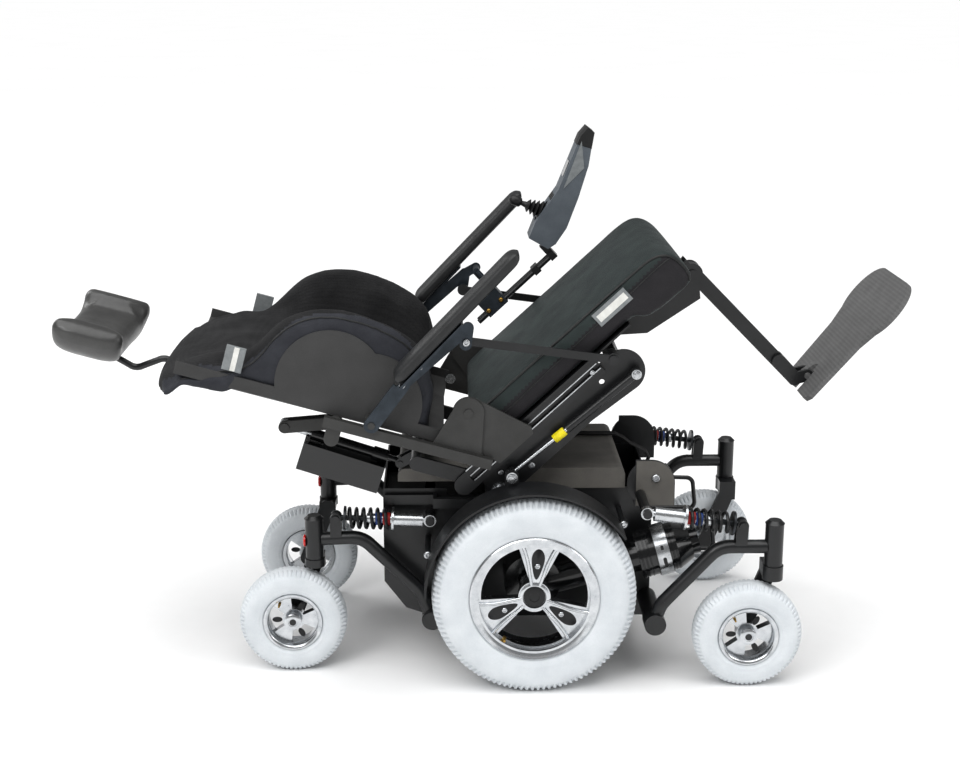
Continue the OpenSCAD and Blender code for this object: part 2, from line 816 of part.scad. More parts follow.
module back_frame() {
    cane_m = [-85, -67];
    cane_t = [-62, 236];
    cross = [215, -104];
    color("#3b434b") at_back() {
        both() {
            difference() {
                union() {
                    plate(lobe_in, cane_w) translate([cane_m[0], cane_t[0]])
                        square([cane_m[1] - cane_m[0], cane_t[1] - cane_t[0]]);
                    plate(lobe_in, lobe_t) {
                        circle(27);
                        polygon([[0, -27], [-70, -42], [-70, 46], [0, 27]]);
                    }
                    // Drop bracket to the cross tube
                    plate(lobe_in + 2, 8) bar2d([-76, 215], tm(cross), 13);
                    // Armrest pivot block and its pin
                    plate(lobe_in, cane_w) translate(tm(arm_pivot)) translate([-14, -13]) square([26, 26]);
                    pin_y(tm(arm_pivot), lobe_in + cane_w - 1, bracket_in + bracket_t + 3, 6);
                }
                pin_y([0, 0], 150, 250, recline_pin_r + run);
            }
        }
        pin_y(tm(cross), -lobe_in - 4, lobe_in + 4, 9);
        // Crank to the recline actuator and the shell's mounting pads
        for (y = [actuator_y - 13, actuator_y + 8]) {
            plate(y, 5) bar2d(tm(cross), tm(crank_pin), 11);
        }
        for (y = [actuator_y - 16, actuator_y + 13]) {
            pin_y(tm(crank_pin), y, y + 3, 8);
        }
        for (y = [-100, 78]) {
            translate([-96, y, 200]) cube([96 - 86.3, 22, 30]);
        }
    }
}

// Section across the back shell, given as [distance towards the sitter, width]
module shell_section(d) {
    y1 = 212 - d;
    y2 = 150 - d / 2;
    polygon([[-60, -y1], [-86 + d, -y2], [-86 + d, y2], [-60, y1], [-40, y1], [-40, -y1]]);
}

// Side outline of a shell wing: a low upper edge and a round lateral lobe
module wing_outline() {
    difference() {
        union() {
            translate([-66, 22]) square([22, back_len]);
            translate([-16, 240]) circle(95);
            translate([-30, 165]) circle(88);
        }
        translate([-166, -200]) square([100, 900]);
        translate([-66, -200]) square([300, 222]);
    }
}

module back_shell() {
    t = 4;
    color("#3f3f40") at_back() {
        difference() {
            translate([0, 0, 22]) linear_extrude(back_len) shell_section(0);
            translate([0, 0, 21]) linear_extrude(back_len + 2) shell_section(t);
            translate([-60 + 12, -250, 0]) cube([60, 500, 600]);
        }
        both() plate(212 - t, t) wing_outline();
        // Clamp for the headrest stem
        difference() {
            translate([-122, -18, 448]) cube([122 - 84, 36, 46]);
            translate([-106, 0, 440]) cylinder(h = 60, r = stem_bar_r + run);
        }
        translate([-104, 18, 471]) rotate([-90, 0, 0]) cylinder(h = 14, r = 9);
    }
}

module back_cushion() {
    half = 205;
    color("#262627") at_back() {
        translate([-81.5, -145, 26]) cube([62, 290, 500]);
        translate([-60, -half, 26]) cube([38, 2 * half, 496]);
        both() plate(half - 48, 48) difference() {
            union() {
                translate([2, 262]) circle(110);
                translate([17, 190]) circle(95);
            }
            translate([-160, -10]) square([100, 600]);
            translate([-160, -40]) square([400, 140]);
        }
    }
}

// ---------- headrest ----------

headrest_at = [-116, 669];

module headrest_stem() {
    color("#1a1b1c") at_back() {
        bent_tube([[-106, 415], [-106, 548], [-138, 592], headrest_at + [-1, -4]], stem_bar_r, 22);
        pin_y(headrest_at, -25.5, 25.5, 7);
    }
}

// Section across the headrest: a centre pad and two forward wings, as [distance towards the sitter, width]
module headrest_section() {
    translate([-108, -96]) square([38, 192]);
    for (s = [-1, 1]) {
        translate([-89, s * 96]) circle(19);
        hull() {
            translate([-89, s * 96]) circle(19, $fn = 32);
            translate([-48, s * 118]) circle(20, $fn = 32);
        }
    }
}

module headrest_pad() {
    low = headrest_at[1] - headrest_h / 2 - 2;
    color("#3a3d3f") at_back() difference() {
        union() {
            translate([0, 0, low]) linear_extrude(headrest_h) headrest_section();
            for (y = [-26, 18]) {
                plate(y, 8) {
                    bar2d(headrest_at, [-104, headrest_at[1]], 13);
                }
            }
        }
        pin_y(headrest_at, -30, 30, 7 + run);
        translate([-140, -17, headrest_at[1] - 14]) cube([34, 34, 28]);
    }
}

// ---------- recline actuator ----------

function back_point(p) = let (c = cos(recline_deg), s = sin(recline_deg))
    [recline_s + p[1] * c - p[0] * s, recline_n + p[1] * s + p[0] * c];

module at_actuator() {
    at_seat() translate([0, actuator_y, 0]) along(fork_pin, back_point(crank_pin)) children();
}

module recline_housing() {
    color("#151617") at_actuator() difference() {
        union() {
            pin_y([0, 0], -7, 7, 9);
            rod_x(7, 28, 6);
            rod_x(24, 52, 13);
            rod_x(50, 166, 10.5);
            // Motor casing under the tube
            translate([24, -28, 12]) cube([150, 56, 50]);
            translate([40, -8, 6]) cube([100, 16, 10]);
        }
        pin_y([0, 0], -9, 9, 5 + run);
        rod_x(56, 170, 6 + run);
    }
}

module recline_rod() {
    length = norm(back_point(crank_pin) - fork_pin);
    color("#b9bbbe") at_actuator() {
        rod_x(110, length - 6, 6);
        pin_y([length, 0], -6.5, 6.5, 11);
    }
}

// ---------- armrests ----------

module armrest_brackets() {
    pivot = back_point(arm_pivot);
    heel = [57, 222];
    toe = [205, 218];
    color("#3b434b") at_seat() {
        both() difference() {
            union() {
                plate(bracket_in, bracket_t) difference() {
                    union() {
                        bar2d(pivot, heel, 13);
                        bar2d(heel, toe, 10);
                        bar2d(link_top, toe, 10);
                    }
                    translate([heel[0] - 9, heel[1] + 4.8]) rotate(3.2) square([200, 40]);
                }
                pin_y(link_top, link_in + link_t + gap, bracket_in + 1, 8);
                // Shelf under the pad
                translate([heel[0], bracket_in, heel[1] + 1.5]) rotate([0, -3.2, 0]) cube([150, 40, 4]);
            }
            pin_y(pivot, bracket_in - 1, bracket_in + bracket_t + 1, 6 + run);
        }
        // Arm, post and clamp block that carry the joystick on the left side
        plate(bracket_in, bracket_t) bar2d(toe, [joy_s, 212], 9);
        pin_y([joy_s, 212], joy_y, bracket_in + 1, 7);
        difference() {
            union() {
                translate([joy_s, joy_y, 170]) cylinder(h = 42, r = 7);
                translate([joy_block[0], joy_y - 15.2, joy_block[1]]) cube([joy_block[2], 30, joy_block[3]]);
            }
            for (dy = joy_rods) {
                translate([0, joy_y + dy, joy_n]) rod_x(150, 260, 5 + run);
            }
        }
    }
}

module armrest_pad(shift) {
    start = [68, 240];
    r = 12.5;
    slope = 3.2;
    end = start + (pad_len - 2 * r) * [cos(slope), sin(slope)];
    plate(pad_y - pad_w / 2, pad_w) translate([shift, shift * tan(slope) + 0.68]) bar2d(start, end, r);
}

module armrest_pads() {
    color("#1d1e1f") at_seat() {
        mirror([0, 1, 0]) armrest_pad(0);
        armrest_pad(pad_shift);
    }
}

module armrest_links() {
    color("#26282a") at_seat() both() difference() {
        plate(link_in, link_t) {
            bar2d(link_pin, link_top, 7);
            translate(link_pin) circle(11);
            translate(link_top) circle(11);
        }
        pin_y(link_pin, link_in - 1, link_in + link_t + 1, 5 + run);
    }
}

// ---------- joystick ----------

pod_low = [358, 166];
pod_deg = 25.7;
well_z = 6;
stick_z = 15;

module joystick_mount() {
    color("#1b1c1d") at_seat() {
        for (dy = joy_rods) {
            translate([0, joy_y + dy, joy_n]) rod_x(166, 366, 5);
        }
        for (x = [310, 352]) {
            translate([x, joy_y - 15, joy_n - 8]) cube([14, 30, 16]);
        }
        translate([352, joy_y - 10, joy_n]) cube([14, 20, 28]);
    }
}

module at_pod() {
    at_seat() translate([pod_low[0], joy_y, pod_low[1]]) rotate([0, -pod_deg, 0]) children();
}

module joystick_pod() {
    color("#565c62") at_pod() difference() {
        plate(-34, 68) polygon([[0, -12], [6, 30], [38, 30], [80, 20], [112, 12], [pod_len - 20, 11], [pod_len, 4],
            [pod_len - 4, -10], [175, -24], [112, -29], [50, -30], [14, -22]]);
        translate([60, 0, well_z]) cylinder(h = 40, r = 21);
        translate([78, 0, stick_z]) rod_x(0, 8, 2 + run);
        translate([34, 0, stick_z]) rod_x(0, 8, 2 + run);
    }
}

// Ring that tips side to side in the pod's well
module joystick_gimbal() {
    color("#2a2a2b") at_pod() translate([60, 0, stick_z]) {
        difference() {
            translate([0, 0, -2]) cylinder(h = 4, r = 14);
            translate([0, 0, -3]) cylinder(h = 6, r = 9);
            pin_y([0, 0], -20, 20, 1.2 + run);
        }
        rod_x(12, 24, 2);
        rod_x(-24, -12, 2);
    }
}

// Stick and knob, tipping fore and aft in the ring
module joystick_stick() {
    color("#161616") at_pod() translate([60, 0, stick_z]) {
        pin_y([0, 0], -13.5, 13.5, 1.2);
        sphere(6);
        cylinder(h = 60, r = 3.5);
        translate([0, 0, 9]) cylinder(h = 28, r1 = 12.5, r2 = 6);
        translate([0, 0, 50]) cylinder(h = 16, r = 8.9);
        translate([0, 0, 66]) sphere(9);
    }
}

// ---------- leg support ----------

module leg_tube() {
    hub_half = 13.7;
    foot = leg_hinge + foot_at;
    heel = foot + [-21, 12];
    color("#1a1b1d") at_seat() difference() {
        union() {
            pin_y(leg_hinge, -hub_half, hub_half, 18);
            plate(-10, 20) bar2d(leg_hinge + [2, -14], heel, 13);
            for (y = [-18, 10]) {
                plate(y, 8) {
                    bar2d(heel + [0, 44], heel, 13);
                    bar2d(heel, foot, 11);
                }
            }
        }
        pin_y(leg_hinge, -hub_half - 1, hub_half + 1, leg_pin_r + run);
        pin_y(foot, -20, 20, 6 + run);
    }
}

module footplate() {
    foot = leg_hinge + foot_at;
    rise = 7.5;
    t = 9;
    heel = -33;
    notch = [14, 19.5];
    heel_half = 86;
    mid_half = 94;
    toe_half = 126;
    toe_r = 62;
    toe = heel + foot_len - toe_r;
    color("#5f6163") at_seat() {
        pin_y(foot, -22, 22, 6);
        translate([foot[0], 0, foot[1]]) rotate([0, -rise, 0]) {
            plate(-9.5, 19) bar2d([0, 0], [20, -5], 8);
            translate([0, 0, -t - 3]) linear_extrude(t) {
                polygon([[heel + 10, -heel_half], [heel, -heel_half + 12], [heel, -notch[1]], [notch[0], -notch[1]],
                    notch, [heel, notch[1]], [heel, heel_half - 12], [heel + 10, heel_half], [100, mid_half],
                    [toe, toe_half - end_swell], [toe, end_swell - toe_half], [100, -mid_half]]);
                for (s = [-1, 1]) {
                    translate([toe, s * (toe_half - toe_r)]) circle(toe_r);
                }
                translate([toe - 1, toe_r - toe_half]) square([toe_r + 1 - end_swell, 2 * (toe_half - toe_r)]);
            }
        }
    }
}

// ---------- nodes ----------

chassis_frame();
power_pack();
deck_cover();
fenders();
drive_motors();
seat_harness();
arm_rear(right);  // arm_rear_right
arm_rear(left);  // arm_rear_left
arm_front(right);  // arm_front_right
arm_front(left);  // arm_front_left
fork(-rear_swivel, -rear_y, right, rear_barrel);  // fork_rear_right
fork(-rear_swivel, rear_y, left, rear_barrel);  // fork_rear_left
fork(front_swivel, -front_y, right, front_barrel);  // fork_front_right
fork(front_swivel, front_y, left, front_barrel);  // fork_front_left
caster_tyre(-rear_swivel, -rear_y);  // caster_tyre_rear_right
caster_tyre(-rear_swivel, rear_y);  // caster_tyre_rear_left
caster_tyre(front_swivel, -front_y);  // caster_tyre_front_right
caster_tyre(front_swivel, front_y);  // caster_tyre_front_left
caster_rim(-rear_swivel, -rear_y);  // caster_rim_rear_right
caster_rim(-rear_swivel, rear_y);  // caster_rim_rear_left
caster_rim(front_swivel, -front_y);  // caster_rim_front_right
caster_rim(front_swivel, front_y);  // caster_rim_front_left
shock_body(rear_eye, rear_lug, -rear_y);  // shock_body_rear_right
shock_body(rear_eye, rear_lug, rear_y);  // shock_body_rear_left
shock_body(front_eye, front_lug, -front_y);  // shock_body_front_right
shock_body(front_eye, front_lug, front_y);  // shock_body_front_left
shock_rod(rear_eye, rear_lug, -rear_y);  // shock_rod_rear_right
shock_rod(rear_eye, rear_lug, rear_y);  // shock_rod_rear_left
shock_rod(front_eye, front_lug, -front_y);  // shock_rod_front_right
shock_rod(front_eye, front_lug, front_y);  // shock_rod_front_left
spring(rear_eye, rear_lug, -rear_y);  // spring_rear_right
spring(rear_eye, rear_lug, rear_y);  // spring_rear_left
spring(front_eye, front_lug, -front_y);  // spring_front_right
spring(front_eye, front_lug, front_y);  // spring_front_left
drive_tyre(right);  // drive_tyre_right
drive_tyre(left);  // drive_tyre_left
drive_rim(right);  // drive_rim_right
drive_rim(left);  // drive_rim_left
tilt_carriage();
seat_frame();
hip_plates();
seat_cushion();
strut_rods();
strut_cylinders();
back_frame();
back_shell();
back_cushion();
headrest_stem();
headrest_pad();
recline_housing();
recline_rod();
armrest_brackets();
armrest_pads();
armrest_links();
joystick_mount();
joystick_pod();
joystick_gimbal();
joystick_stick();
leg_tube();
footplate();
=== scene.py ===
import json
import math

import bmesh
import bpy
import numpy as np
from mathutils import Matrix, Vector
from mathutils.bvhtree import BVHTree


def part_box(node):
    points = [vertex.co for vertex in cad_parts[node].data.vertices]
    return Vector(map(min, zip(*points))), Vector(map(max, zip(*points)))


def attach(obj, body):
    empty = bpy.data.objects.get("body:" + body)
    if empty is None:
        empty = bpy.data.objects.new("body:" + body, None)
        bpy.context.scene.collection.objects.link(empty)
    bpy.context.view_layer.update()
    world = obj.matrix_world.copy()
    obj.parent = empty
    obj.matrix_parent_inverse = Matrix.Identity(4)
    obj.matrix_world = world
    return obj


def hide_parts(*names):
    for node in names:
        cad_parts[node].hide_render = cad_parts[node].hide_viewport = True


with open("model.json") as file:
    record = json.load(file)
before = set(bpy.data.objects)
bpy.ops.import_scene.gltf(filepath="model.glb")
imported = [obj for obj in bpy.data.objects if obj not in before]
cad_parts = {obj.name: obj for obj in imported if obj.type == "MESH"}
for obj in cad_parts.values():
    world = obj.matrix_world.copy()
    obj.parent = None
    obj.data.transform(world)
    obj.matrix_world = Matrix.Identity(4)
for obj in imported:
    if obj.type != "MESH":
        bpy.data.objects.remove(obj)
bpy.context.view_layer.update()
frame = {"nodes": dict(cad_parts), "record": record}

# ---------------------------------------------------------------- places on the chair
# Lengths below are millimetres; pieces are turned into metres as their meshes are made.
SIDES = {"right": -1, "left": 1}


def place(x, z, deg=0.0, y=0.0):
    """Frame at (x, y, z) whose first axis rises deg above level in the side plane."""
    c, s = math.cos(math.radians(deg)), math.sin(math.radians(deg))
    return np.array([[c, 0, -s, x], [0, 1, 0, y], [s, 0, c, z], [0, 0, 0, 1.0]])


def middle(node):
    """Centre of a CAD node's box, in millimetres."""
    low, high = (np.array(v, float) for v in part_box(node))
    return 500 * (low + high)


AXLE = middle("drive_tyre_right")
BASE = place(AXLE[0], 0)
SEAT = BASE @ place(-115, 349, 43)
BACK = SEAT @ place(101, 105, 31.5)
POD = SEAT @ place(358, 166, 25.7, 193)


def facing(x, z, y, side):
    """Frame at (x, y, z) whose third axis points out of the chair's side."""
    m = np.eye(4)
    m[:3, 0], m[:3, 1], m[:3, 2], m[:3, 3] = (1, 0, 0), (0, 0, -side), (0, side, 0), (x, y, z)
    return m


def shift(x=0.0, y=0.0, z=0.0):
    """Frame moved by (x, y, z) and not turned."""
    m = np.eye(4)
    m[:3, 3] = (x, y, z)
    return m


def spun(angle):
    """Frame turned by angle, in radians, about its third axis."""
    m = np.eye(4)
    m[:2, 0], m[:2, 1] = (math.cos(angle), math.sin(angle)), (-math.sin(angle), math.cos(angle))
    return m


def upright(y=0.0, z=0.0, side=1):
    """Frame that stands a flat outline in the side plane; its thickness runs to the given side."""
    return np.array([[1, 0, 0, 0], [0, 0, side, y], [0, 1, 0, z], [0, 0, 0, 1.0]])


# Frame whose third axis runs forward, for round parts that lie along an arm or a strut
ALONG = np.array([[0, 0, 1, 0], [0, 1, 0, 0], [-1, 0, 0, 0], [0, 0, 0, 1.0]])

# Outer radius, width and seat radius of the tyres, and how far out the drive wheels stand
DRIVE_R, DRIVE_W, DRIVE_SEAT_R, DRIVE_Y = 178, 76, 112, 252.0
CASTER_R, CASTER_W, CASTER_SEAT_R = 96, 50, 52
# Rear swivels: distance behind the axle and from the centre plane
REAR_SWIVEL, REAR_Y = 387, 165.0
# Outer faces of the slotted rails and of the back's side bands
RAIL_FACE, BAND_FACE = 194.6, 213.5

# ---------------------------------------------------------------- shapes
def fade(v, low, high):
    """Smooth step from 0 at low to 1 at high."""
    k = np.clip((np.asarray(v, float) - low) / (high - low), 0, 1)
    return k * k * (3 - 2 * k)


def curve(points, count, loop=False):
    """Catmull-Rom spline through the points, sampled at equal steps of its own length."""
    p = np.asarray(points, float)
    p = np.vstack([p[-1], p, p[0], p[1]]) if loop else np.vstack([2 * p[0] - p[1], p, 2 * p[-1] - p[-2]])
    t = np.linspace(0, len(p) - 3, 24 * len(p))
    k = np.minimum(t.astype(int), len(p) - 4)
    f = (t - k)[:, None]
    a, b, c, d = p[k], p[k + 1], p[k + 2], p[k + 3]
    q = 0.5 * (2 * b + (c - a) * f + (2 * a - 5 * b + 4 * c - d) * f**2 + (3 * b - a - 3 * c + d) * f**3)
    far = np.r_[0, np.cumsum(np.linalg.norm(np.diff(q, axis=0), axis=1))]
    want = np.linspace(0, far[-1], count, endpoint=not loop)
    return np.stack([np.interp(want, far, q[:, i]) for i in range(q.shape[1])], 1)


def grid(p, loop_rows=False, loop_cols=False, close=False):
    """Quads between neighbouring points of a rows-by-columns array.
    close fans the first and the last row to its own middle."""
    rows, cols = p.shape[:2]
    i = np.arange(rows if loop_rows else rows - 1)[:, None]
    j = np.arange(cols if loop_cols else cols - 1)[None, :]
    i2, j2 = (i + 1) % rows, (j + 1) % cols
    faces = np.stack([i * cols + j, i * cols + j2, i2 * cols + j2, i2 * cols + j], -1).reshape(-1, 4).tolist()
    pts = p.reshape(-1, 3)
    if close:
        for row in (0, rows - 1):
            hub = len(pts)
            pts = np.vstack([pts, p[row].mean(0)])
            a = row * cols + np.arange(cols)
            b = row * cols + (np.arange(cols) + 1) % cols
            faces += np.stack([a, b, np.full(cols, hub)], -1).tolist()
    return pts, faces


def turned(rings, count=32):
    """Round part about its third axis: ring k has radius r and height z.
    A third number makes that ring a regular polygon with so many corners."""
    a = np.linspace(0, 2 * np.pi, count, endpoint=False)
    rows = []
    for ring in rings:
        r, z, corners = (*ring, 0)[:3]
        reach = np.ones(count)
        if corners:
            step = 2 * np.pi / corners
            reach = math.cos(step / 2) / np.cos(a % step - step / 2)
        rows.append(np.stack([r * reach * np.cos(a), r * reach * np.sin(a), np.full(count, float(z))], 1))
    return grid(np.array(rows), loop_cols=True, close=True)


def open_ring(rings, count):
    """A turned part without the fans at its two ends."""
    pts, faces = turned(rings, count)
    keep = len(pts) - 2
    return pts[:keep], [face for face in faces if max(face) < keep]


def tube(path, radius, sides=12, loop=False, across=(0, 1, 0)):
    """Circle of the given radius carried along a path.
    Its own sideways axis is the path's direction crossed with across."""
    p = np.asarray(path, float)
    d = (np.roll(p, -1, 0) - np.roll(p, 1, 0)) if loop else np.gradient(p, axis=0)
    d /= np.linalg.norm(d, axis=1)[:, None]
    u = np.cross(d, np.asarray(across, float))
    u /= np.linalg.norm(u, axis=1)[:, None]
    v = np.cross(d, u)
    a = np.linspace(0, 2 * np.pi, sides, endpoint=False)
    r = np.broadcast_to(np.asarray(radius, float), (len(p),))[:, None, None]
    rings = p[:, None] + r * (np.cos(a)[None, :, None] * u[:, None] + np.sin(a)[None, :, None] * v[:, None])
    return grid(rings, loop_rows=loop, loop_cols=True, close=not loop)


def slab(outline, low, high, round_over=1.0):
    """Flat outline in the first two axes given a thickness along the third, its rim turned over by round_over."""
    o = np.asarray(outline, float)
    c = o.mean(0)
    inner = c + (o - c) * (1 - round_over / max(np.linalg.norm(o - c, axis=1).max(), 1e-6))
    rows = [(inner, low), (o, low + round_over), (o, high - round_over), (inner, high)]
    return grid(np.array([np.column_stack([q, np.full(len(q), z)]) for q, z in rows]), loop_cols=True, close=True)


def moved(part, m):
    """The part's points carried by a frame."""
    pts, faces = part
    return pts @ m[:3, :3].T + m[:3, 3], faces


def build(name, parts, at=BASE, finish=None, body=None, smooth=40.0, replaces=()):
    """One object from several closed parts: points carried into the chair's frame, faces turned outwards."""
    pts, faces, n = [], [], 0
    for p, f in parts:
        pts.append(p)
        faces += [[k + n for k in face] for face in f]
        n += len(p)
    pts = np.vstack(pts)
    pts = (pts @ at[:3, :3].T + at[:3, 3]) / 1000
    mesh = bpy.data.meshes.new(name)
    mesh.from_pydata(pts.tolist(), [], faces)
    b = bmesh.new()
    b.from_mesh(mesh)
    bmesh.ops.recalc_face_normals(b, faces=b.faces)
    b.to_mesh(mesh)
    b.free()
    piece = bpy.data.objects.new(name, mesh)
    bpy.context.scene.collection.objects.link(piece)
    return dress(piece, finish, body, smooth, replaces)


def dress(piece, finish, body, smooth=40.0, replaces=()):
    """Gives a piece its finish, its smooth shading up to an angle, and its place on a body."""
    if finish is not None:
        for f in finish if isinstance(finish, (list, tuple)) else [finish]:
            piece.data.materials.append(f)
    piece.data.shade_smooth()
    if smooth < 180:
        piece.data.set_sharp_from_angle(angle=math.radians(smooth))
    if body:
        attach(piece, body)
    if replaces:
        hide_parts(*replaces)
    return piece


def points_of(piece):
    """The piece's points, in millimetres."""
    co = np.empty(3 * len(piece.data.vertices), np.float32)
    piece.data.vertices.foreach_get("co", co)
    return co.reshape(-1, 3).astype(float) * 1000


def local(points, at):
    """Points seen in a frame of the chair."""
    return (points - at[:3, 3]) @ at[:3, :3]


# ---------------------------------------------------------------- finishes
def linear(code):
    """sRGB hex to linear light."""
    v = np.array([int(code[i:i + 2], 16) / 255 for i in (1, 3, 5)])
    v = np.where(v <= 0.04045, v / 12.92, ((v + 0.055) / 1.055) ** 2.4)
    return (*map(float, v), 1.0)


def add(tree, kind, links=None, **settings):
    """Adds a node, sets its settings, and sets or links its inputs."""
    node = tree.nodes.new(kind)
    for key, value in settings.items():
        setattr(node, key, value)
    for key, value in (links or {}).items():
        if isinstance(value, bpy.types.NodeSocket):
            tree.links.new(value, node.inputs[key])
        else:
            node.inputs[key].default_value = value
    return node


def mixed(tree, factor, low, high):
    """Colour between two hex values or colour sockets."""
    pick = lambda c: linear(c) if isinstance(c, str) else c
    return add(tree, "ShaderNodeMix", {0: factor, 6: pick(low), 7: pick(high)}, data_type="RGBA").outputs[2]


def ramp(tree, value, low, high, to_low=0.0, to_high=1.0):
    """Value carried in a straight line from low..high to to_low..to_high."""
    return add(tree, "ShaderNodeMapRange", {0: value, 1: low, 2: high, 3: to_low, 4: to_high}).outputs[0]


def finish(name, light, dark, rough=(0.4, 0.5), mottle=30.0, grain=1.5, depth=0.0, metal=0.0, **sockets):
    """A base finish: colour drifts between two shades over mottle mm, gloss drifts with it, and a grain of
    the given size stands depth mm proud. Other sockets are set by name."""
    m = bpy.data.materials.new(name)
    m.use_nodes = True
    t = m.node_tree
    shader = t.nodes["Principled BSDF"]
    where = add(t, "ShaderNodeTexCoord").outputs["Object"]
    drift = add(t, "ShaderNodeTexNoise",
                {"Vector": where, "Scale": 1000 / mottle, "Detail": 4.0, "Roughness": 0.55}).outputs[0]
    fine = add(t, "ShaderNodeTexNoise",
               {"Vector": where, "Scale": 1000 / grain, "Detail": 3.0, "Roughness": 0.6}).outputs[0]
    both = add(t, "ShaderNodeMath", {0: ramp(t, drift, 0.3, 0.7, 0, 0.7), 1: ramp(t, fine, 0.3, 0.7, 0, 0.3)},
               operation="ADD").outputs[0]
    t.links.new(mixed(t, both, light, dark), shader.inputs["Base Color"])
    t.links.new(ramp(t, both, 0, 1, rough[0], rough[1]), shader.inputs["Roughness"])
    if depth:
        bump = add(t, "ShaderNodeBump", {"Height": fine, "Distance": depth / 1000, "Strength": 1.0})
        t.links.new(bump.outputs[0], shader.inputs["Normal"])
    shader.inputs["Metallic"].default_value = metal
    for key, value in sockets.items():
        shader.inputs[key.replace("_", " ")].default_value = linear(value) if isinstance(value, str) else value
    return m, t, shader, where


# Steel tube and plate under semi-gloss black powder coat: orange peel about 2 mm across breaks the highlights
powder_black = finish("powder_coated_steel_black", "#1b1c1e", "#131415", (0.30, 0.42), 60, 2.2, 0.05,
                      Coat_Weight=0.15, Coat_Roughness=0.2)[0]
# Moulded ABS battery case and covers: matt black with a fine spark texture
abs_black = finish("moulded_abs_black", "#1a1a1b", "#111112", (0.48, 0.6), 80, 1.6, 0.09)[0]
# Vacuum formed ABS deck: warm grey, leather-like grain about 1.5 mm
abs_deck = finish("grained_abs_warm_grey", "#6e6b66", "#5d5b57", (0.5, 0.62), 45, 1.8, 0.12)[0]
# Polypropylene fenders: satin black, softly uneven
poly_fender = finish("moulded_polypropylene_black", "#1d1e20", "#121314", (0.36, 0.48), 50, 2.5, 0.06)[0]
# Motor housings: thick gloss enamel
enamel_black = finish("gloss_enamel_black", "#131416", "#0b0c0d", (0.16, 0.26), 70, 4.0, 0.04,
                      Coat_Weight=0.4, Coat_Roughness=0.08)[0]
# Rubber cable sheath
rubber_black = finish("cable_rubber_black", "#151516", "#0d0d0e", (0.5, 0.65), 20, 1.2, 0.03)[0]
# Glass-filled nylon hip covers
nylon_black = finish("glass_filled_nylon_black", "#1c1c1d", "#131314", (0.42, 0.55), 40, 1.4, 0.08)[0]
# Zinc plated steel: bright, with soft cloudy gloss
zinc_steel = finish("zinc_plated_steel", "#d2d4d6", "#a4a7aa", (0.18, 0.34), 12, 1.0, 0.02, 1.0)[0]
# Slate blue anodised aluminium, brushed before anodising
anodised_slate = finish("anodised_aluminium_slate", "#414850", "#2d3338", (0.32, 0.44), 26, 1.5, 0.02, 0.6)[0]
# Thermoformed shell of the back: charcoal with a pebble grain
abs_shell = finish("pebble_grained_shell_charcoal", "#3f3f3f", "#343434", (0.55, 0.66), 55, 2.0, 0.16)[0]
# Integral-skin polyurethane foam of the armrest pads: satin black skin, softly dimpled
foam_skin = finish("integral_skin_foam_black", "#2b2c2d", "#1d1e1f", (0.40, 0.52), 24, 2.4, 0.12)[0]
# Moulded joystick housing, soft-touch grey
abs_joystick = finish("soft_touch_abs_grey", "#646b72", "#535a61", (0.42, 0.52), 40, 1.6, 0.07)[0]
control_black = finish("moulded_control_black", "#19191a", "#101011", (0.4, 0.5), 30, 1.6, 0.05)[0]
# Cast and machined wheel alloy, polished then lacquered
alloy_polished = finish("polished_wheel_alloy", "#dddfe1", "#b4b8bc", (0.16, 0.30), 18, 1.4, 0.02, 1.0)[0]
# Turned and anodised shock bodies
alloy_shock = finish("turned_shock_alloy", "#d9dbdd", "#b2b5b8", (0.2, 0.32), 14, 1.2, 0.02, 1.0)[0]
steel_dark = finish("phosphated_steel_dark", "#4a4c4f", "#2e3032", (0.3, 0.44), 16, 1.2, 0.03, 0.9)[0]
spring_coat = finish("powder_coated_spring_black", "#17181a", "#0f1011", (0.3, 0.42), 16, 1.5, 0.04)[0]
# Black paint in the wheel pockets
pocket_paint = finish("wheel_pocket_paint_black", "#151618", "#0c0d0e", (0.35, 0.5), 20, 1.5, 0.05)[0]
brass = finish("valve_brass", "#c9a35a", "#9a7a3c", (0.25, 0.4), 6, 1.0, 0.02, 1.0)[0]
# Blank tags and patches: plain woven label cloth and vinyl, no print
label_white = finish("blank_label_white", "#e8e8e4", "#cfcfca", (0.5, 0.62), 10, 1.0, 0.03)[0]
label_grey = finish("blank_label_grey", "#8d9192", "#74787a", (0.5, 0.62), 10, 1.0, 0.03)[0]
tag_yellow = finish("blank_tag_yellow", "#f2e21c", "#dccb12", (0.45, 0.55), 10, 1.2, 0.03)[0]
reflector_red = finish("reflector_red", "#d21f1c", "#a51412", (0.12, 0.2), 6, 2.0, 0.1, Coat_Weight=0.6)[0]
band_red = finish("rubber_bumper_red", "#b3221d", "#8e1814", (0.45, 0.6), 10, 1.5, 0.05)[0]
band_blue = finish("rubber_bumper_blue", "#2b4f9a", "#203c78", (0.45, 0.6), 10, 1.5, 0.05)[0]
piping_black = finish("vinyl_piping_black", "#202121", "#141515", (0.4, 0.5), 10, 1.5, 0.04)[0]


def tyre_rubber():
    """Non-marking grey-white tyre rubber: matt, with soft dusty patches."""
    return finish("non_marking_tyre_rubber_grey", "#dde1e4", "#cbd0d4", (0.55, 0.7), 40, 2.0, 0.08,
                  Specular_IOR_Level=0.35)[0]


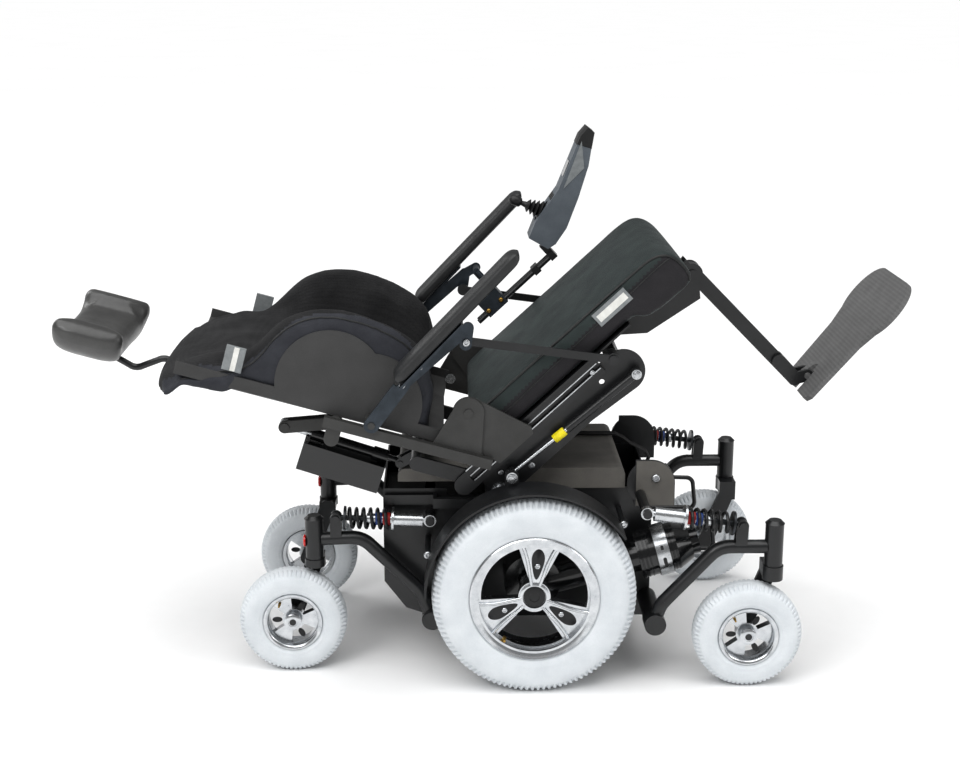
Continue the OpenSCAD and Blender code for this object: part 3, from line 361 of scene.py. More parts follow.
def woven(name, light, dark, thread, depth, rough, sheen, nap="#5a5c5e"):
    """Plain weave: warp and weft waves at right angles along the piece, crossed as a checker of over and under."""
    m, t, shader, where = finish(name, light, dark, rough, 45, 2.0, 0.0, Sheen_Weight=sheen,
                                 Sheen_Roughness=0.5, Sheen_Tint=nap, Specular_IOR_Level=0.3)
    turn = add(t, "ShaderNodeMapping", {"Vector": where, "Rotation": (0, math.radians(43), 0),
                                        "Scale": (1000 / thread,) * 3}).outputs[0]
    weave = add(t, "ShaderNodeTexChecker", {"Vector": turn, "Scale": 1.0}).outputs[1]
    wave = add(t, "ShaderNodeTexWave", {"Vector": turn, "Scale": 0.32, "Distortion": 1.5, "Detail": 2.0,
                                        "Detail Scale": 1.5}).outputs[1]
    height = add(t, "ShaderNodeMath", {0: weave, 1: wave}, operation="ADD").outputs[0]
    bump = add(t, "ShaderNodeBump", {"Height": height, "Distance": depth / 1000, "Strength": 0.8})
    t.links.new(bump.outputs[0], shader.inputs["Normal"])
    return m


def spacer_knit(name, light, dark, cell, depth, sheen=0.25):
    """Spacer knit: rounded cells of the given size, each a shallow pit whose bottom is painted darker as shade."""
    m, t, shader, where = finish(name, light, dark, (0.75, 0.9), 60, 2.0, 0.0, Sheen_Weight=sheen,
                                 Sheen_Roughness=0.6, Sheen_Tint="#4a4b4c", Specular_IOR_Level=0.2)
    cells = add(t, "ShaderNodeTexVoronoi",
                {"Vector": where, "Scale": 1000 / cell, "Randomness": 0.35}).outputs["Distance"]
    pit = ramp(t, cells, 0.1, 0.55)
    base = shader.inputs["Base Color"].links[0].from_socket
    # Painted shade: towards the middle of each cell, where the pit is deepest, the colour is mixed towards near-black
    t.links.new(mixed(t, ramp(t, cells, 0.0, 0.6, 0.55, 0.0), base, "#0c0c0d"), shader.inputs["Base Color"])
    bump = add(t, "ShaderNodeBump", {"Height": pit, "Distance": depth / 1000, "Strength": 0.9})
    t.links.new(bump.outputs[0], shader.inputs["Normal"])
    return m


def ribbed_rubber():
    """Footplate mat: narrow ribs that run across the plate, the grooves between them painted darker as shade."""
    m, t, shader, where = finish("ribbed_footplate_rubber", "#6d6d6d", "#606060", (0.55, 0.7), 35, 1.8, 0.0)
    turn = add(t, "ShaderNodeMapping", {"Vector": where, "Rotation": (0, math.radians(50.5), 0)},
               vector_type="POINT").outputs[0]
    ribs = add(t, "ShaderNodeTexWave", {"Vector": turn, "Scale": 1000 / 3.6 / 6.283, "Distortion": 0.0},
               bands_direction="X").outputs[1]
    base = shader.inputs["Base Color"].links[0].from_socket
    # Painted shade: the low parts of the rib wave are mixed towards a darker grey, the crowns keep the base colour
    t.links.new(mixed(t, ramp(t, ribs, 0.2, 0.8, 0.16, 0.0), base, "#2c2d2e"), shader.inputs["Base Color"])
    bump = add(t, "ShaderNodeBump", {"Height": ribs, "Distance": 0.0003, "Strength": 0.8})
    t.links.new(bump.outputs[0], shader.inputs["Normal"])
    return m


# Coated weave of the seat cover: dark green-grey, threads drawn 1.6 mm apart so that they show
seat_cloth = woven("coated_seat_weave_green_grey", "#323c3b", "#242b2b", 1.6, 0.22, (0.46, 0.58), 0.2)
# Stretch weave of the side bands, bluer and darker
band_cloth = woven("stretch_weave_blue_grey", "#3a3c42", "#2a2b31", 1.4, 0.2, (0.6, 0.72), 0.3)
under_cloth = woven("non_slip_underside_charcoal", "#2a2b2c", "#1e1f20", 2.0, 0.25, (0.7, 0.8), 0.1)
# Black spacer knit of the back: cells about 2.6 mm, drawn slightly coarse
back_knit = spacer_knit("spacer_knit_black", "#323233", "#202021", 2.8, 0.5)
# Headrest: smooth black leatherette, soft pebble about 2 mm, its sheen wide
head_vinyl = finish("pebbled_leatherette_black", "#4a4a49", "#363636", (0.3, 0.42), 34, 2.2, 0.1,
                    Coat_Weight=0.12, Coat_Roughness=0.3)[0]
# Side panels of the seat cushion: black stretch fabric with a plum cast
side_cloth = woven("stretch_weave_plum_black", "#2b292c", "#1f1e21", 1.5, 0.2, (0.55, 0.68), 0.2)
# Hip covers and recline lobes: charcoal moulded nylon over the brackets
nylon_charcoal = finish("moulded_nylon_charcoal", "#3c3c3b", "#313130", (0.42, 0.55), 40, 1.6, 0.08)[0]
tyre_grey = tyre_rubber()
foot_rubber = ribbed_rubber()

SLOTS = {
    "frame_black": powder_black, "battery_case": abs_black, "deck_plastic": abs_deck,
    "fender_plastic": poly_fender, "motor_black": enamel_black, "cable_rubber": rubber_black,
    "hip_plastic": nylon_black, "seat_fabric": seat_cloth, "steel_bright": zinc_steel,
    "anodised_slate": anodised_slate, "shell_plastic": abs_shell, "back_fabric": back_knit,
    "headrest_fabric": head_vinyl, "pad_foam": foam_skin, "joystick_grey": abs_joystick,
    "control_black": control_black, "footplate_rubber": foot_rubber, "tyre_grey": tyre_grey,
    "rim_alloy": alloy_polished, "shock_alloy": alloy_shock, "steel_dark": steel_dark,
    "spring_black": spring_coat,
}
# Nodes whose moulded covers show, in place of the finish of their slot
COVERED = ("back_frame", "hip_plates")
slot_of = {part["node"]: part.get("slot") or part.get("material_slot")
           for part in frame["record"].get("subparts", []) if "node" in part}
for name, node in frame["nodes"].items():
    for held in node.material_slots:
        wanted = slot_of.get(name) or (held.material.name.split(".")[0] if held.material else None)
        if wanted in SLOTS:
            held.material = nylon_charcoal if name in COVERED else SLOTS[wanted]


# ---------------------------------------------------------------- wheels
def tyre(name, node, body, radius, width, seat_r, centre, lugs, depth, ribs):
    """Section of a tyre turned about its axle. Round the shoulder its surface dips by depth wherever the cosine
    of lugs times the angle is low, and the crown has a shallow groove at each distance in ribs."""
    w, tall = width / 2, radius - seat_r
    half = [(seat_r + 0.3, w - 12), (seat_r + 1, w - 5.5), (seat_r + 0.12 * tall, w - 2.5),
            (seat_r + 0.42 * tall, w), (seat_r + 0.68 * tall, w - 1.2), (radius - 0.15 * tall, w - 0.11 * width),
            (radius - 1.6, w - 0.22 * width), (radius, w - 0.36 * width)]
    line = curve(np.array(half + [(radius + 0.15, 0.0)] + [(r, -y) for r, y in half[::-1]]), 76)
    line = np.vstack([line, [(seat_r + 0.3, -(w - 14)), (seat_r + 0.3, w - 14)]])
    a = np.linspace(0, 2 * np.pi, lugs * 6, endpoint=False)[:, None]
    r, y = line[None, :, 0], line[None, :, 1]
    shoulder = fade(r, radius - 0.23 * tall, radius - 0.13 * tall) * fade(np.abs(y), 0.28 * w, 0.42 * w)
    cut = fade(np.cos(lugs * a + np.sign(y) * 1.2 + 0.03 * y), -0.55, 0.05)
    drop = depth * shoulder * (1 - cut)
    for at in ribs:
        drop = drop + 1.3 * fade(r, radius - 6, radius - 3) * np.exp(-(((np.abs(y) - at) / 1.3) ** 2))
    bead = np.exp(-(((r - (seat_r + 0.2 * tall)) / 1.2) ** 2)) * fade(np.abs(y), 0.6 * w, 0.8 * w)
    over = r - (radius - 0.55 * tall)
    out = np.sqrt(over**2 + y**2) + 1e-6
    rr = r - drop * np.abs(over) / out
    yy = y - drop * y / out + 0.7 * bead * np.sign(y)
    p = np.stack([rr * np.cos(a), yy + 0 * a, rr * np.sin(a)], -1)
    body_of_rubber = moved(grid(p, loop_rows=True, loop_cols=True), shift(*centre))
    return build(name, [body_of_rubber], np.eye(4), tyre_grey, body, 50, (node,))


def bolt(r, h):
    """Button-head screw: a domed head with a hexagon socket."""
    return turned([(r, 0), (r, 0.25 * h), (0.93 * r, 0.62 * h), (0.75 * r, 0.88 * h), (0.56 * r, h),
                   (0.52 * r, h, 6), (0.5 * r, 0.35 * h, 6), (0.1 * r, 0.32 * h)], 24)


def nut(r, h):
    """Hexagon nut with a stub of thread in it."""
    return turned([(r * 1.25, 0), (r * 1.25, 0.22 * h), (r, 0.24 * h, 6), (r, 0.9 * h, 6), (0.86 * r, h),
                   (0.55 * r, h), (0.52 * r, 1.35 * h), (0.2 * r, 1.4 * h)], 24)


for word, side in SIDES.items():
    body = f"drive_wheel_{word}"
    y = side * DRIVE_Y
    tyre(f"drive_tyre_detail_{word}", f"drive_tyre_{word}", body, DRIVE_R, DRIVE_W, DRIVE_SEAT_R,
         (AXLE[0], y, DRIVE_R), 110, 3.4, (8, 19))
    # Spokes: two bright ribs with a dark keyhole pocket and a screw between them
    ribs, pockets, screws = [], [], []
    for k in range(3):
        turn = spun(math.radians(85 + 120 * k))
        for lean in (-1, 1):
            path = curve([(21, lean * 7, 21.6), (38, lean * 11.5, 22.4), (62, lean * 17, 22.4),
                          (84, lean * 25, 22.4), (98, lean * 33, 24)], 24)
            ribs.append(moved(tube(path, 3.0, 10, across=(0, 0, 1)), turn))
        t = np.linspace(0, 2 * np.pi, 40, endpoint=False)
        x = 60 + 28 * np.cos(t)
        key = np.stack([x, np.sin(t) * np.interp(x, [32, 50, 74, 88], [6.5, 8.5, 13, 14])], 1)
        pockets.append(moved(slab(key, 20.6, 21.7, 0.5), turn))
        screws.append(moved(bolt(5.2, 3.2), turn @ shift(57, 0, 21.6)))
    # Hub: a recessed cap in a bright ring; rim: an inner bright step and the outer bead
    hub = turned([(26, 20.6), (26, 22.6), (23, 24.2), (20.5, 24.2), (19.5, 22.0), (19.4, 21.0), (6, 20.9)], 48)
    cap = turned([(19, 20.6), (19, 21.8), (17, 22.6), (9, 22.9), (8.6, 21.9), (2, 21.9)], 40)
    step = open_ring([(102, 27.8), (111.9, 31.0), (112.6, 34.2), (110.6, 35.6), (107.0, 34.6), (101.0, 33.2),
                      (97.2, 30.0), (96.4, 24.0), (97.0, 21.5), (101, 22.5)], 128)
    stem = turned([(3.6, 0), (3.4, 6), (2.4, 7), (2.4, 16), (1.4, 17)], 16)
    at = BASE @ facing(0, DRIVE_R, y, side)
    build(f"drive_rim_ribs_{word}", ribs + [hub], at, alloy_polished, body, 50)
    build(f"drive_rim_bead_{word}", [step], at, alloy_polished, body, 50)
    build(f"drive_rim_pockets_{word}", pockets + [cap], at, pocket_paint, body, 50)
    build(f"drive_rim_screws_{word}", screws, at, zinc_steel, body, 50)
    build(f"drive_valve_{word}", [moved(stem, shift(-52, -78, 16))], at, brass, body, 50)

for spot in ("rear", "front"):
    for word, side in SIDES.items():
        body, node = f"caster_{spot}_{word}", f"caster_tyre_{spot}_{word}"
        c = middle(node)
        tyre(f"caster_tyre_detail_{spot}_{word}", node, body, CASTER_R, CASTER_W, CASTER_SEAT_R, tuple(c),
             72, 2.2, (6,))
        at = facing(c[0], c[2], c[1], side)
        bead = open_ring([(47, 17), (51.5, 18.6), (53.5, 21.0), (52.6, 23.2), (50, 23.0), (46.5, 21.4),
                          (44.6, 18), (44.6, 14), (47, 14)], 96)
        hub = turned([(15, 18), (15, 21.6), (12.5, 23.2), (8, 23.4), (7.6, 22.4), (2, 22.4)], 40)
        t = np.linspace(0, 2 * np.pi, 28, endpoint=False)
        pocket = slab(np.stack([29 + 9 * np.cos(t), 5.2 * np.sin(t)], 1), 7.6, 8.7, 0.4)
        dark = [moved(pocket, spun(math.radians(60 + 120 * k))) for k in range(3)]
        stem = turned([(2.6, 0), (2.4, 5), (1.7, 6), (1.7, 13), (1, 14)], 14)
        build(f"caster_rim_bead_{spot}_{word}", [bead, hub], at, alloy_polished, body, 50)
        build(f"caster_rim_pockets_{spot}_{word}", dark, at, pocket_paint, body, 50)
        build(f"caster_valve_{spot}_{word}", [moved(stem, shift(-24, 30, 10))], at, brass, body,
              50)

# ---------------------------------------------------------------- seat cushion
def puff(piece, voxel, cap, pinned=None, pressure=4.0):
    """Remeshes the piece evenly, blows it up as cloth under pressure without weight, and limits how far any point
    goes. pinned gives, for every point, how firmly its seam holds it."""
    remesh = piece.modifiers.new("even", "REMESH")
    remesh.mode, remesh.voxel_size = "VOXEL", voxel / 1000
    bpy.context.view_layer.update()
    seen = piece.evaluated_get(bpy.context.evaluated_depsgraph_get())
    mesh = bpy.data.meshes.new_from_object(seen)
    piece.modifiers.clear()
    mesh.name = piece.name
    piece.data = mesh
    rest = points_of(piece)
    cloth = piece.modifiers.new("fill", "CLOTH")
    s = cloth.settings
    s.quality, s.mass, s.use_pressure, s.uniform_pressure_force = 4, 0.3, True, pressure
    s.tension_stiffness = s.compression_stiffness = 12
    s.shear_stiffness, s.bending_stiffness = 6, 2.0
    s.effector_weights.gravity = 0
    cloth.collision_settings.use_self_collision = False
    if pinned is not None:
        hold = pinned(rest)
        group = piece.vertex_groups.new(name="seams")
        for level in (0.35, 0.7, 1.0):
            group.add(np.nonzero(np.abs(hold - level) < 0.176)[0].tolist(), level, "REPLACE")
        s.vertex_group_mass = "seams"
    cloth.point_cache.frame_start, cloth.point_cache.frame_end = 1, 20
    scene = bpy.context.scene
    for f in range(1, 21):
        scene.frame_set(f)
    seen = piece.evaluated_get(bpy.context.evaluated_depsgraph_get())
    after = np.empty(3 * len(seen.data.vertices), np.float32)
    seen.data.vertices.foreach_get("co", after)
    go = after.reshape(-1, 3).astype(float) * 1000 - rest
    far = np.linalg.norm(go, axis=1)[:, None]
    new = rest + go * np.minimum(1, cap / np.maximum(far, 1e-6))
    piece.modifiers.clear()
    piece.vertex_groups.clear()
    piece.data.vertices.foreach_set("co", (new / 1000).astype(np.float32).ravel())
    piece.data.update()
    scene.frame_set(1)
    return piece


def soften(piece):
    """Live subdivision, the same when shown and rendered."""
    m = piece.modifiers.new("soften", "SUBSURF")
    m.levels = m.render_levels = 1
    return piece


def paint(piece, at, rule):
    """Gives every face the finish whose number rule returns for its middle, in the given frame."""
    n = len(piece.data.polygons)
    mid = np.empty(3 * n, np.float32)
    piece.data.polygons.foreach_get("center", mid)
    index = rule(local(mid.reshape(-1, 3).astype(float) * 1000, at)).astype(np.int32)
    piece.data.polygons.foreach_set("material_index", index)
    piece.data.update()


def seam(name, piece, lines, at, radius, finish_of, body, proud=0.35):
    """Piping laid on a soft piece: each line is moved to the nearest point of the surface and stands proud of it."""
    bpy.context.view_layer.update()
    tree = BVHTree.FromObject(piece, bpy.context.evaluated_depsgraph_get())
    parts = []
    for line in lines:
        world = (np.asarray(line) @ at[:3, :3].T + at[:3, 3]) / 1000
        hit = [tree.find_nearest(Vector(p)) for p in world]
        on = np.array([h[0] for h in hit]) * 1000 + np.array([h[1] for h in hit]) * radius * proud
        on[1:-1] = (on[:-2] + on[1:-1] + on[2:]) / 3
        parts.append(tube(on, radius, 8, across=(0.03, 1, 0.02)))
    return build(name, parts, np.eye(4), finish_of, body, 60)


CUSHION_HALF = 200.0
side_line = curve([(84, 30), (80, 60), (85, 84), (104, 92.5), (190, 93), (320, 92), (430, 92), (494, 91), (524, 82),
                   (537, 62), (540, 38), (536, 16), (522, 7), (494, 6.5), (460, 8), (432, 14), (420, 27), (400, 30),
                   (300, 30), (180, 30)], 150, loop=True)


def boxed(line, half, edge, core, crown):
    """Closed cushion from its side outline: across the seat the outline keeps its size, turns over a rounded edge of
    radius edge, and its side panels close on the line core. The top is crowned between its seams."""
    a = np.linspace(0, np.pi / 2, 9)[1:]
    inward = np.gradient(np.vstack([line[-1], line, line[0]]), axis=0)[1:-1]
    normal = np.stack([-inward[:, 1], inward[:, 0]], 1) / np.linalg.norm(inward, axis=1)[:, None]
    area = np.sum(line[:, 0] * np.roll(line[:, 1], -1) - np.roll(line[:, 0], -1) * line[:, 1])
    normal *= np.sign(area)
    mid = np.stack([np.clip(line[:, 0], core[0][0], core[-1][0]), 0 * line[:, 0]], 1)
    mid[:, 1] = np.interp(mid[:, 0], [c[0] for c in core], [c[1] for c in core])
    rows = []
    for y in np.linspace(-(half - edge), half - edge, 41):
        lift = crown * (1 - (y / half) ** 2) * fade(line[:, 1], 60, 90)
        rows.append(np.column_stack([line[:, 0], np.full(len(line), y), line[:, 1] + lift]))
    for sign in (1, -1):
        ends = []
        flat = rows[-1] if sign > 0 else rows[0]
        for t in a:
            p = line + normal * edge * (1 - math.cos(t))
            y = sign * (half - edge + edge * math.sin(t))
            z = p[:, 1] + (flat[:, 2] - line[:, 1]) * math.cos(t)
            ends.append(np.column_stack([p[:, 0], np.full(len(p), y), z]))
        last = ends[-1]
        for k in (0.82, 0.6, 0.38, 0.16):
            q = mid + (last[:, [0, 2]] - mid) * k
            ends.append(np.column_stack([q[:, 0], np.full(len(q), sign * (half + 2.0 * (1 - k))), q[:, 1]]))
        rows = rows + ends if sign > 0 else ends[::-1] + rows
    return grid(np.array(rows), loop_cols=True, close=True)


seat_part = boxed(side_line, CUSHION_HALF, 16, [(118, 60), (400, 60), (440, 54), (505, 46)], 4)
seat_cushion = build("seat_cushion_cover", [seat_part], SEAT, None, None, 180)


def seat_hold(points):
    """Seams along the top and bottom edges of the side panels, and the flat underside, stay where they are."""
    p = local(points, SEAT)
    near = np.exp(-(((np.abs(p[:, 1]) - (CUSHION_HALF - 8)) / 7) ** 2)) * ((p[:, 2] > 80) | (p[:, 2] < 36))
    under = (p[:, 2] < 31.5) & (p[:, 0] < 425)
    return np.clip(np.maximum(near, under), 0, 1)


puff(seat_cushion, 6, 5, seat_hold)
dress(seat_cushion, [seat_cloth, side_cloth, under_cloth], "seat", 180, ("seat_cushion",))


def seat_rule(p):
    """2 for the flat underside, 1 for the side panels under their seam, 0 for the seat cover."""
    panel = (np.abs(p[:, 1]) > CUSHION_HALF - 7) & (p[:, 2] < 60 + 0.03 * p[:, 0])
    return np.where((p[:, 2] < 31) & (p[:, 0] < 420), 2, np.where(panel, 1, 0))


def both_sides(line, y):
    """The line of (forward, up) points, laid on both sides of the chair at a distance from its centre plane."""
    return [np.column_stack([line[:, 0], np.full(len(line), s * y), line[:, 1]]) for s in (-1, 1)]


paint(seat_cushion, SEAT, seat_rule)
soften(seat_cushion)
front = curve([(84, 78), (92, 88), (110, 92), (300, 93), (480, 91), (512, 86), (530, 74), (537, 56), (538, 30),
               (530, 12)], 110)
seam("seat_cushion_piping", seat_cushion, both_sides(front - [0, 3], CUSHION_HALF - 3), SEAT, 2.3, piping_black,
     "seat")
low_line = curve([(90, 57), (250, 62), (420, 66), (500, 68), (531, 66)], 90)
seam("seat_cushion_band_seam", seat_cushion, both_sides(low_line, CUSHION_HALF + 1), SEAT, 1.1, piping_black,
     "seat")


def plate(w, h, z, side):
    """Flat patch of half width w and half height h that stands z proud."""
    return slab([(-w, -h * side), (w, -h * side), (w, h * side), (-w, h * side)], -1.5, z, 0.3)


# Blank woven patch on the side panels, with a grey border
for word, side in SIDES.items():
    at = SEAT @ facing(402, 70, side * (CUSHION_HALF + 2.6), side)
    build(f"seat_patch_border_{word}", [plate(36, 13, 0.7, side)], at, label_grey, "seat", 40)
    build(f"seat_patch_{word}", [plate(31, 6.5, 1.2, side)], at, label_white, "seat", 40)

# ---------------------------------------------------------------- back cushion
def back_shape(rows=120, cols=128):
    """Closed cushion over the back: at each height its section runs flat across the shell, forward round a side lobe
    and back into a shallow hollow. Lobe height, hollow and rear line are functions of height; the ends close in an
    elliptic arc."""
    up = np.linspace(72, 528, rows)
    front = np.interp(up, [72, 100, 300, 400, 440, 470, 495, 513, 531], [-30, -22, -18, -19, -25, -35, -50, -66, -92])
    lobe = np.interp(up, [72, 84, 98, 130, 173, 212, 251, 289, 314, 342, 360, 376, 392, 408, 440, 531],
                     [30, 62, 82, 100, 110, 114, 114, 105, 94, 74, 48, 14, -6, -15, -19, -80])
    kernel = np.hanning(9) / np.hanning(9).sum()
    blur = lambda v: np.convolve(np.pad(v, 4, mode="edge"), kernel, "valid")
    front, lobe = blur(front), np.maximum(blur(lobe), blur(front))
    rear = np.interp(up, [72, 470, 500, 508, 520, 531], [-80, -80, -80, -96, -112, -116])
    side_rear = np.interp(up, [72, 388, 412, 500, 510, 520, 531], [-57, -57, -79, -84, -98, -108, -114])
    rise = lobe - front
    roll = 10 + 26 * fade(up, 370, 430)
    # Where each section's points lie across, and whether each is on the rear, between it and the side's rear
    # line, on that line, or a share of the way from the front line to the lobe's
    spots = [(0, "r", 0), (90, "r", 0), (142, "r", 0), (178, "m", 0), (198, "s", 0), (205.5, "s", 12),
             (207, "f", 0.30), (206.5, "f", 0.62), (205, "f", 0.84), (199, "f", 0.965), (188, "f", 1.0),
             (174, "f", 0.985), (163, "f", 0.90),
             (155, "f", 0.70), (148, "f", 0.42), (139, "f", 0.17), (122, "f", 0.03), (90, "f", 0.0), (40, "f", 0.0)]
    half = []
    for y, kind, k in spots:
        if kind == "r":
            m = rear
        elif kind == "m":
            m = 0.5 * (rear + side_rear)
        elif kind == "s":
            m = side_rear + k
        else:
            drop = roll * fade(y, 150, 207) ** 1.6
            m = np.maximum(front + rise * k - drop, side_rear + 14)
            m = m - 3.5 * fade(60 - y, 0, 60)
        half.append(np.stack([m, np.full(rows, float(y)), up], 1))
    ring = np.array(half + [h * [1, -1, 1] for h in half[::-1] if h[0, 1] != 0])
    # Above the lobes the cover is wider and wraps round the shell's edge
    ring[..., 1] *= 1 + 0.048 * fade(ring[..., 2], 386, 412)
    ring[..., 2] -= 20 * (np.abs(ring[..., 1]) / 212) ** 4 * fade(ring[..., 2], 420, 531)
    loop = np.stack([curve(ring[:, i], cols, loop=True) for i in range(rows)])
    inside = 0.35 * front + 0.65 * rear
    ends = []
    for sign, row, reach in ((-1, 0, 16), (1, rows - 1, 7)):
        base = loop[row]
        wide = np.column_stack([np.full(cols, inside[row]), np.clip(base[:, 1], -168, 168), base[:, 2]])
        steps = []
        for ang in np.linspace(0, np.pi / 2, 8)[1:]:
            q = wide + (base - wide) * math.cos(ang)
            q[:, 2] += sign * reach * math.sin(ang)
            steps.append(q)
        ends.append(np.array(steps))
    full = np.concatenate([ends[0][::-1], loop, ends[1]])
    return grid(full, loop_cols=True, close=True)


back_cushion = build("back_cushion_cover", [back_shape()], BACK, None, None, 180)


def back_hold(points):
    """The rear of the cushion, where it lies on the shell, stays where it is below its top roll."""
    p = local(points, BACK)
    return np.where(p[:, 0] < -52, 1.0, 0.0) * (p[:, 2] < 500)


puff(back_cushion, 6, 4, back_hold, 3.0)
lobe_seam = np.array([(96, 58), (112, 76), (131, 92), (165, 104), (211, 110), (252, 108), (288, 99), (316, 84),
                      (338, 62), (356, 32), (370, 4), (392, -22), (430, -36), (470, -46), (500, -58)], float)


def back_rule(p):
    """Side bands: the outer faces behind the lobe seam, and the flat rear."""
    edge = np.interp(p[:, 2], lobe_seam[:, 0], lobe_seam[:, 1])
    return np.where((np.abs(p[:, 1]) > 186) & (p[:, 0] < edge - 2), 1, 0)


dress(back_cushion, [back_knit, band_cloth], "back", 180, ("back_cushion",))
paint(back_cushion, BACK, back_rule)
soften(back_cushion)
trace = curve(lobe_seam, 150)
seam("back_cushion_piping", back_cushion, both_sides(trace[:, ::-1], 214.0), BACK, 1.5, piping_black,
     "back")
# Blank sewn labels at the upper edge of the side bands
for word, side in SIDES.items():
    at = BACK @ shift(-14.0) @ upright(side * BAND_FACE, 408, side)
    label = slab([(-22, -17), (22, -17), (22, 17), (-22, 17)], -3, 2.4, 0.5)
    stripe = slab([(-21, -6), (21, -6), (21, 3), (-21, 3)], -2, 3.0, 0.4)
    build(f"back_label_{word}", [label], at, label_grey, "back", 40)
    build(f"back_label_stripe_{word}", [stripe], at, label_white, "back", 40)

# ---------------------------------------------------------------- headrest
# Height of the headrest's middle above the recline pivot
HEADREST_UP = 669


def wing_pad(rows=88, cols=48):
    """Curved pad: a superellipse section, thin towards the sitter and tall up the back, carried along a shallow C
    across the chair whose wings turn forward; it closes at both ends in a quarter ellipse."""
    path = curve([(-44, -131, 0), (-60, -124, 0), (-79, -108, 0), (-90, -84, 0), (-93, -40, 0), (-93.5, 0, 0),
                  (-93, 40, 0), (-90, 84, 0), (-79, 108, 0), (-60, 124, 0), (-44, 131, 0)], rows)
    d = np.gradient(path, axis=0)
    d /= np.linalg.norm(d, axis=1)[:, None]
    n = np.cross(d, (0, 0, 1.0))
    u = np.abs(np.linspace(-1, 1, rows))
    shut = np.sqrt(np.clip(1 - np.clip((u - 0.86) / 0.142, 0, 1) ** 2, 0.0004, 1))
    a = np.linspace(0, 2 * np.pi, cols, endpoint=False)
    ca, sa = np.cos(a), np.sin(a)
    across = np.sign(ca) * np.abs(ca) ** 0.75
    along = np.sign(sa) * np.abs(sa) ** 0.55
    thick = (19.5 + 4.0 * u**2) * shut
    tall = (61 + 3 * u**2) * (0.78 + 0.22 * shut)
    p = path[:, None] + thick[:, None, None] * across[None, :, None] * n[:, None]
    p = p + (tall[:, None] * along[None, :])[..., None] * np.array([0, 0, 1.0])
    p[..., 2] += HEADREST_UP
    return grid(p, loop_cols=True, close=True)


headrest = build("headrest_cover", [wing_pad()], BACK, None, None, 180)
puff(headrest, 4.5, 3.5, lambda q: np.zeros(len(q)), 3.0)
dress(headrest, head_vinyl, "headrest", 180, ("headrest_pad",))
soften(headrest)
# Two ears behind the pad that take the stem's cross pin
ear = slab([(-129, -13), (-100, -13), (-100, 13), (-118, 16), (-129, 12)], -4, 4, 0.8)
ears = [moved(ear, upright(y, HEADREST_UP)) for y in (-22.0, 22.0)]
build("headrest_ears", ears, BACK, powder_black, "headrest", 40)


# ---------------------------------------------------------------- armrest pads
def arm_pad(shift, side, rows=72, cols=40):
    """Pad carried along the armrest: superellipse section with a flatter underside, its ends rounded, its top
    crowned and slightly hollow along the middle."""
    u = np.linspace(0, 1, rows)
    x = 57 + (300 - 2) * u
    n = 241 + 0.0559 * (x - 68)
    ends = np.sqrt(np.clip(1 - np.clip((np.abs(2 * u - 1) - 0.86) / 0.1405, 0, 1) ** 2, 0.001, 1))
    a = np.linspace(0, 2 * np.pi, cols, endpoint=False)
    across = np.sign(np.cos(a)) * np.abs(np.cos(a)) ** 0.62
    high = np.where(np.sin(a) > 0, np.abs(np.sin(a)) ** 0.8, -np.abs(np.sin(a)) ** 0.45)
    w = 28.5 * (0.62 + 0.38 * ends) * (1 - 0.05 * u)
    h = 12.4 * ends
    y = w[:, None] * across
    z = n[:, None] + h[:, None] * high * (1 + 0.10 * np.cos(np.pi * across) * (high > 0))
    p = np.stack([(x + shift)[:, None] + 0 * y, side * 252.0 + y, z + shift * 0.0559], -1)
    return grid(p, loop_cols=True, close=True)


pads = build("armrest_pads_detail", [arm_pad(0, -1), arm_pad(38, 1)], SEAT, foam_skin, "armrests",
             180, ("armrest_pads",))
soften(pads)

# ---------------------------------------------------------------- joystick
at = POD @ place(60, 15)
fins = [(7, 4), (17, 5)]
for k in range(4):
    low, r = 8 + 8.2 * k, 19.0 - 2.0 * k
    fins += [(r - 6.5, low), (r - 0.4, low + 2.0), (r, low + 2.9), (r - 0.8, low + 3.8)]
fins += [(6.0, 41), (5.0, 46), (4.6, 50), (8.4, 52), (9.8, 56), (10, 62), (9.4, 68), (7.4, 73), (3.4, 75.3)]
build("joystick_knob_and_gaiter", [turned(fins, 40)], at, control_black, "joystick_stick", 60,
      ("joystick_stick",))
button = turned([(7, -2), (7, 1.6), (6, 2.6), (2, 2.8)], 24)
buttons = [moved(button, shift(14.0, y, -1.5)) for y in (-19.0, 0.0, 19.0)]
build("joystick_buttons", buttons, POD @ place(80, 20, -14), control_black, "joystick", 50)
screen = slab([(-15, -20), (17, -20), (17, 20), (-15, 20)], -1, 1.0, 0.4)
build("joystick_screen", [screen], POD @ place(152, 11.5), enamel_black, "joystick", 40)
facet = slab([(118, 4), (214, 6), (168, -18)], -0.8, 0.9, 0.3)
build("joystick_side_facet", [moved(facet, upright(s * 34.0, 0, s)) for s in (-1, 1)], POD, label_grey,
      "joystick", 40)
tip = slab([(204, 12.2), (221, 11.8), (241, 4.6), (236.5, -11.2), (206, -17.5)], -34.8, 34.8, 1.5)
build("joystick_tip", [moved(tip, upright())], POD, control_black, "joystick", 40)
clamp = [moved(bolt(5, 4), facing(s, z, -15.4 + 193, -1)) for s in (196, 228) for z in (172, 141)]
build("joystick_clamp_screws", clamp, SEAT, brass, "armrests", 50)

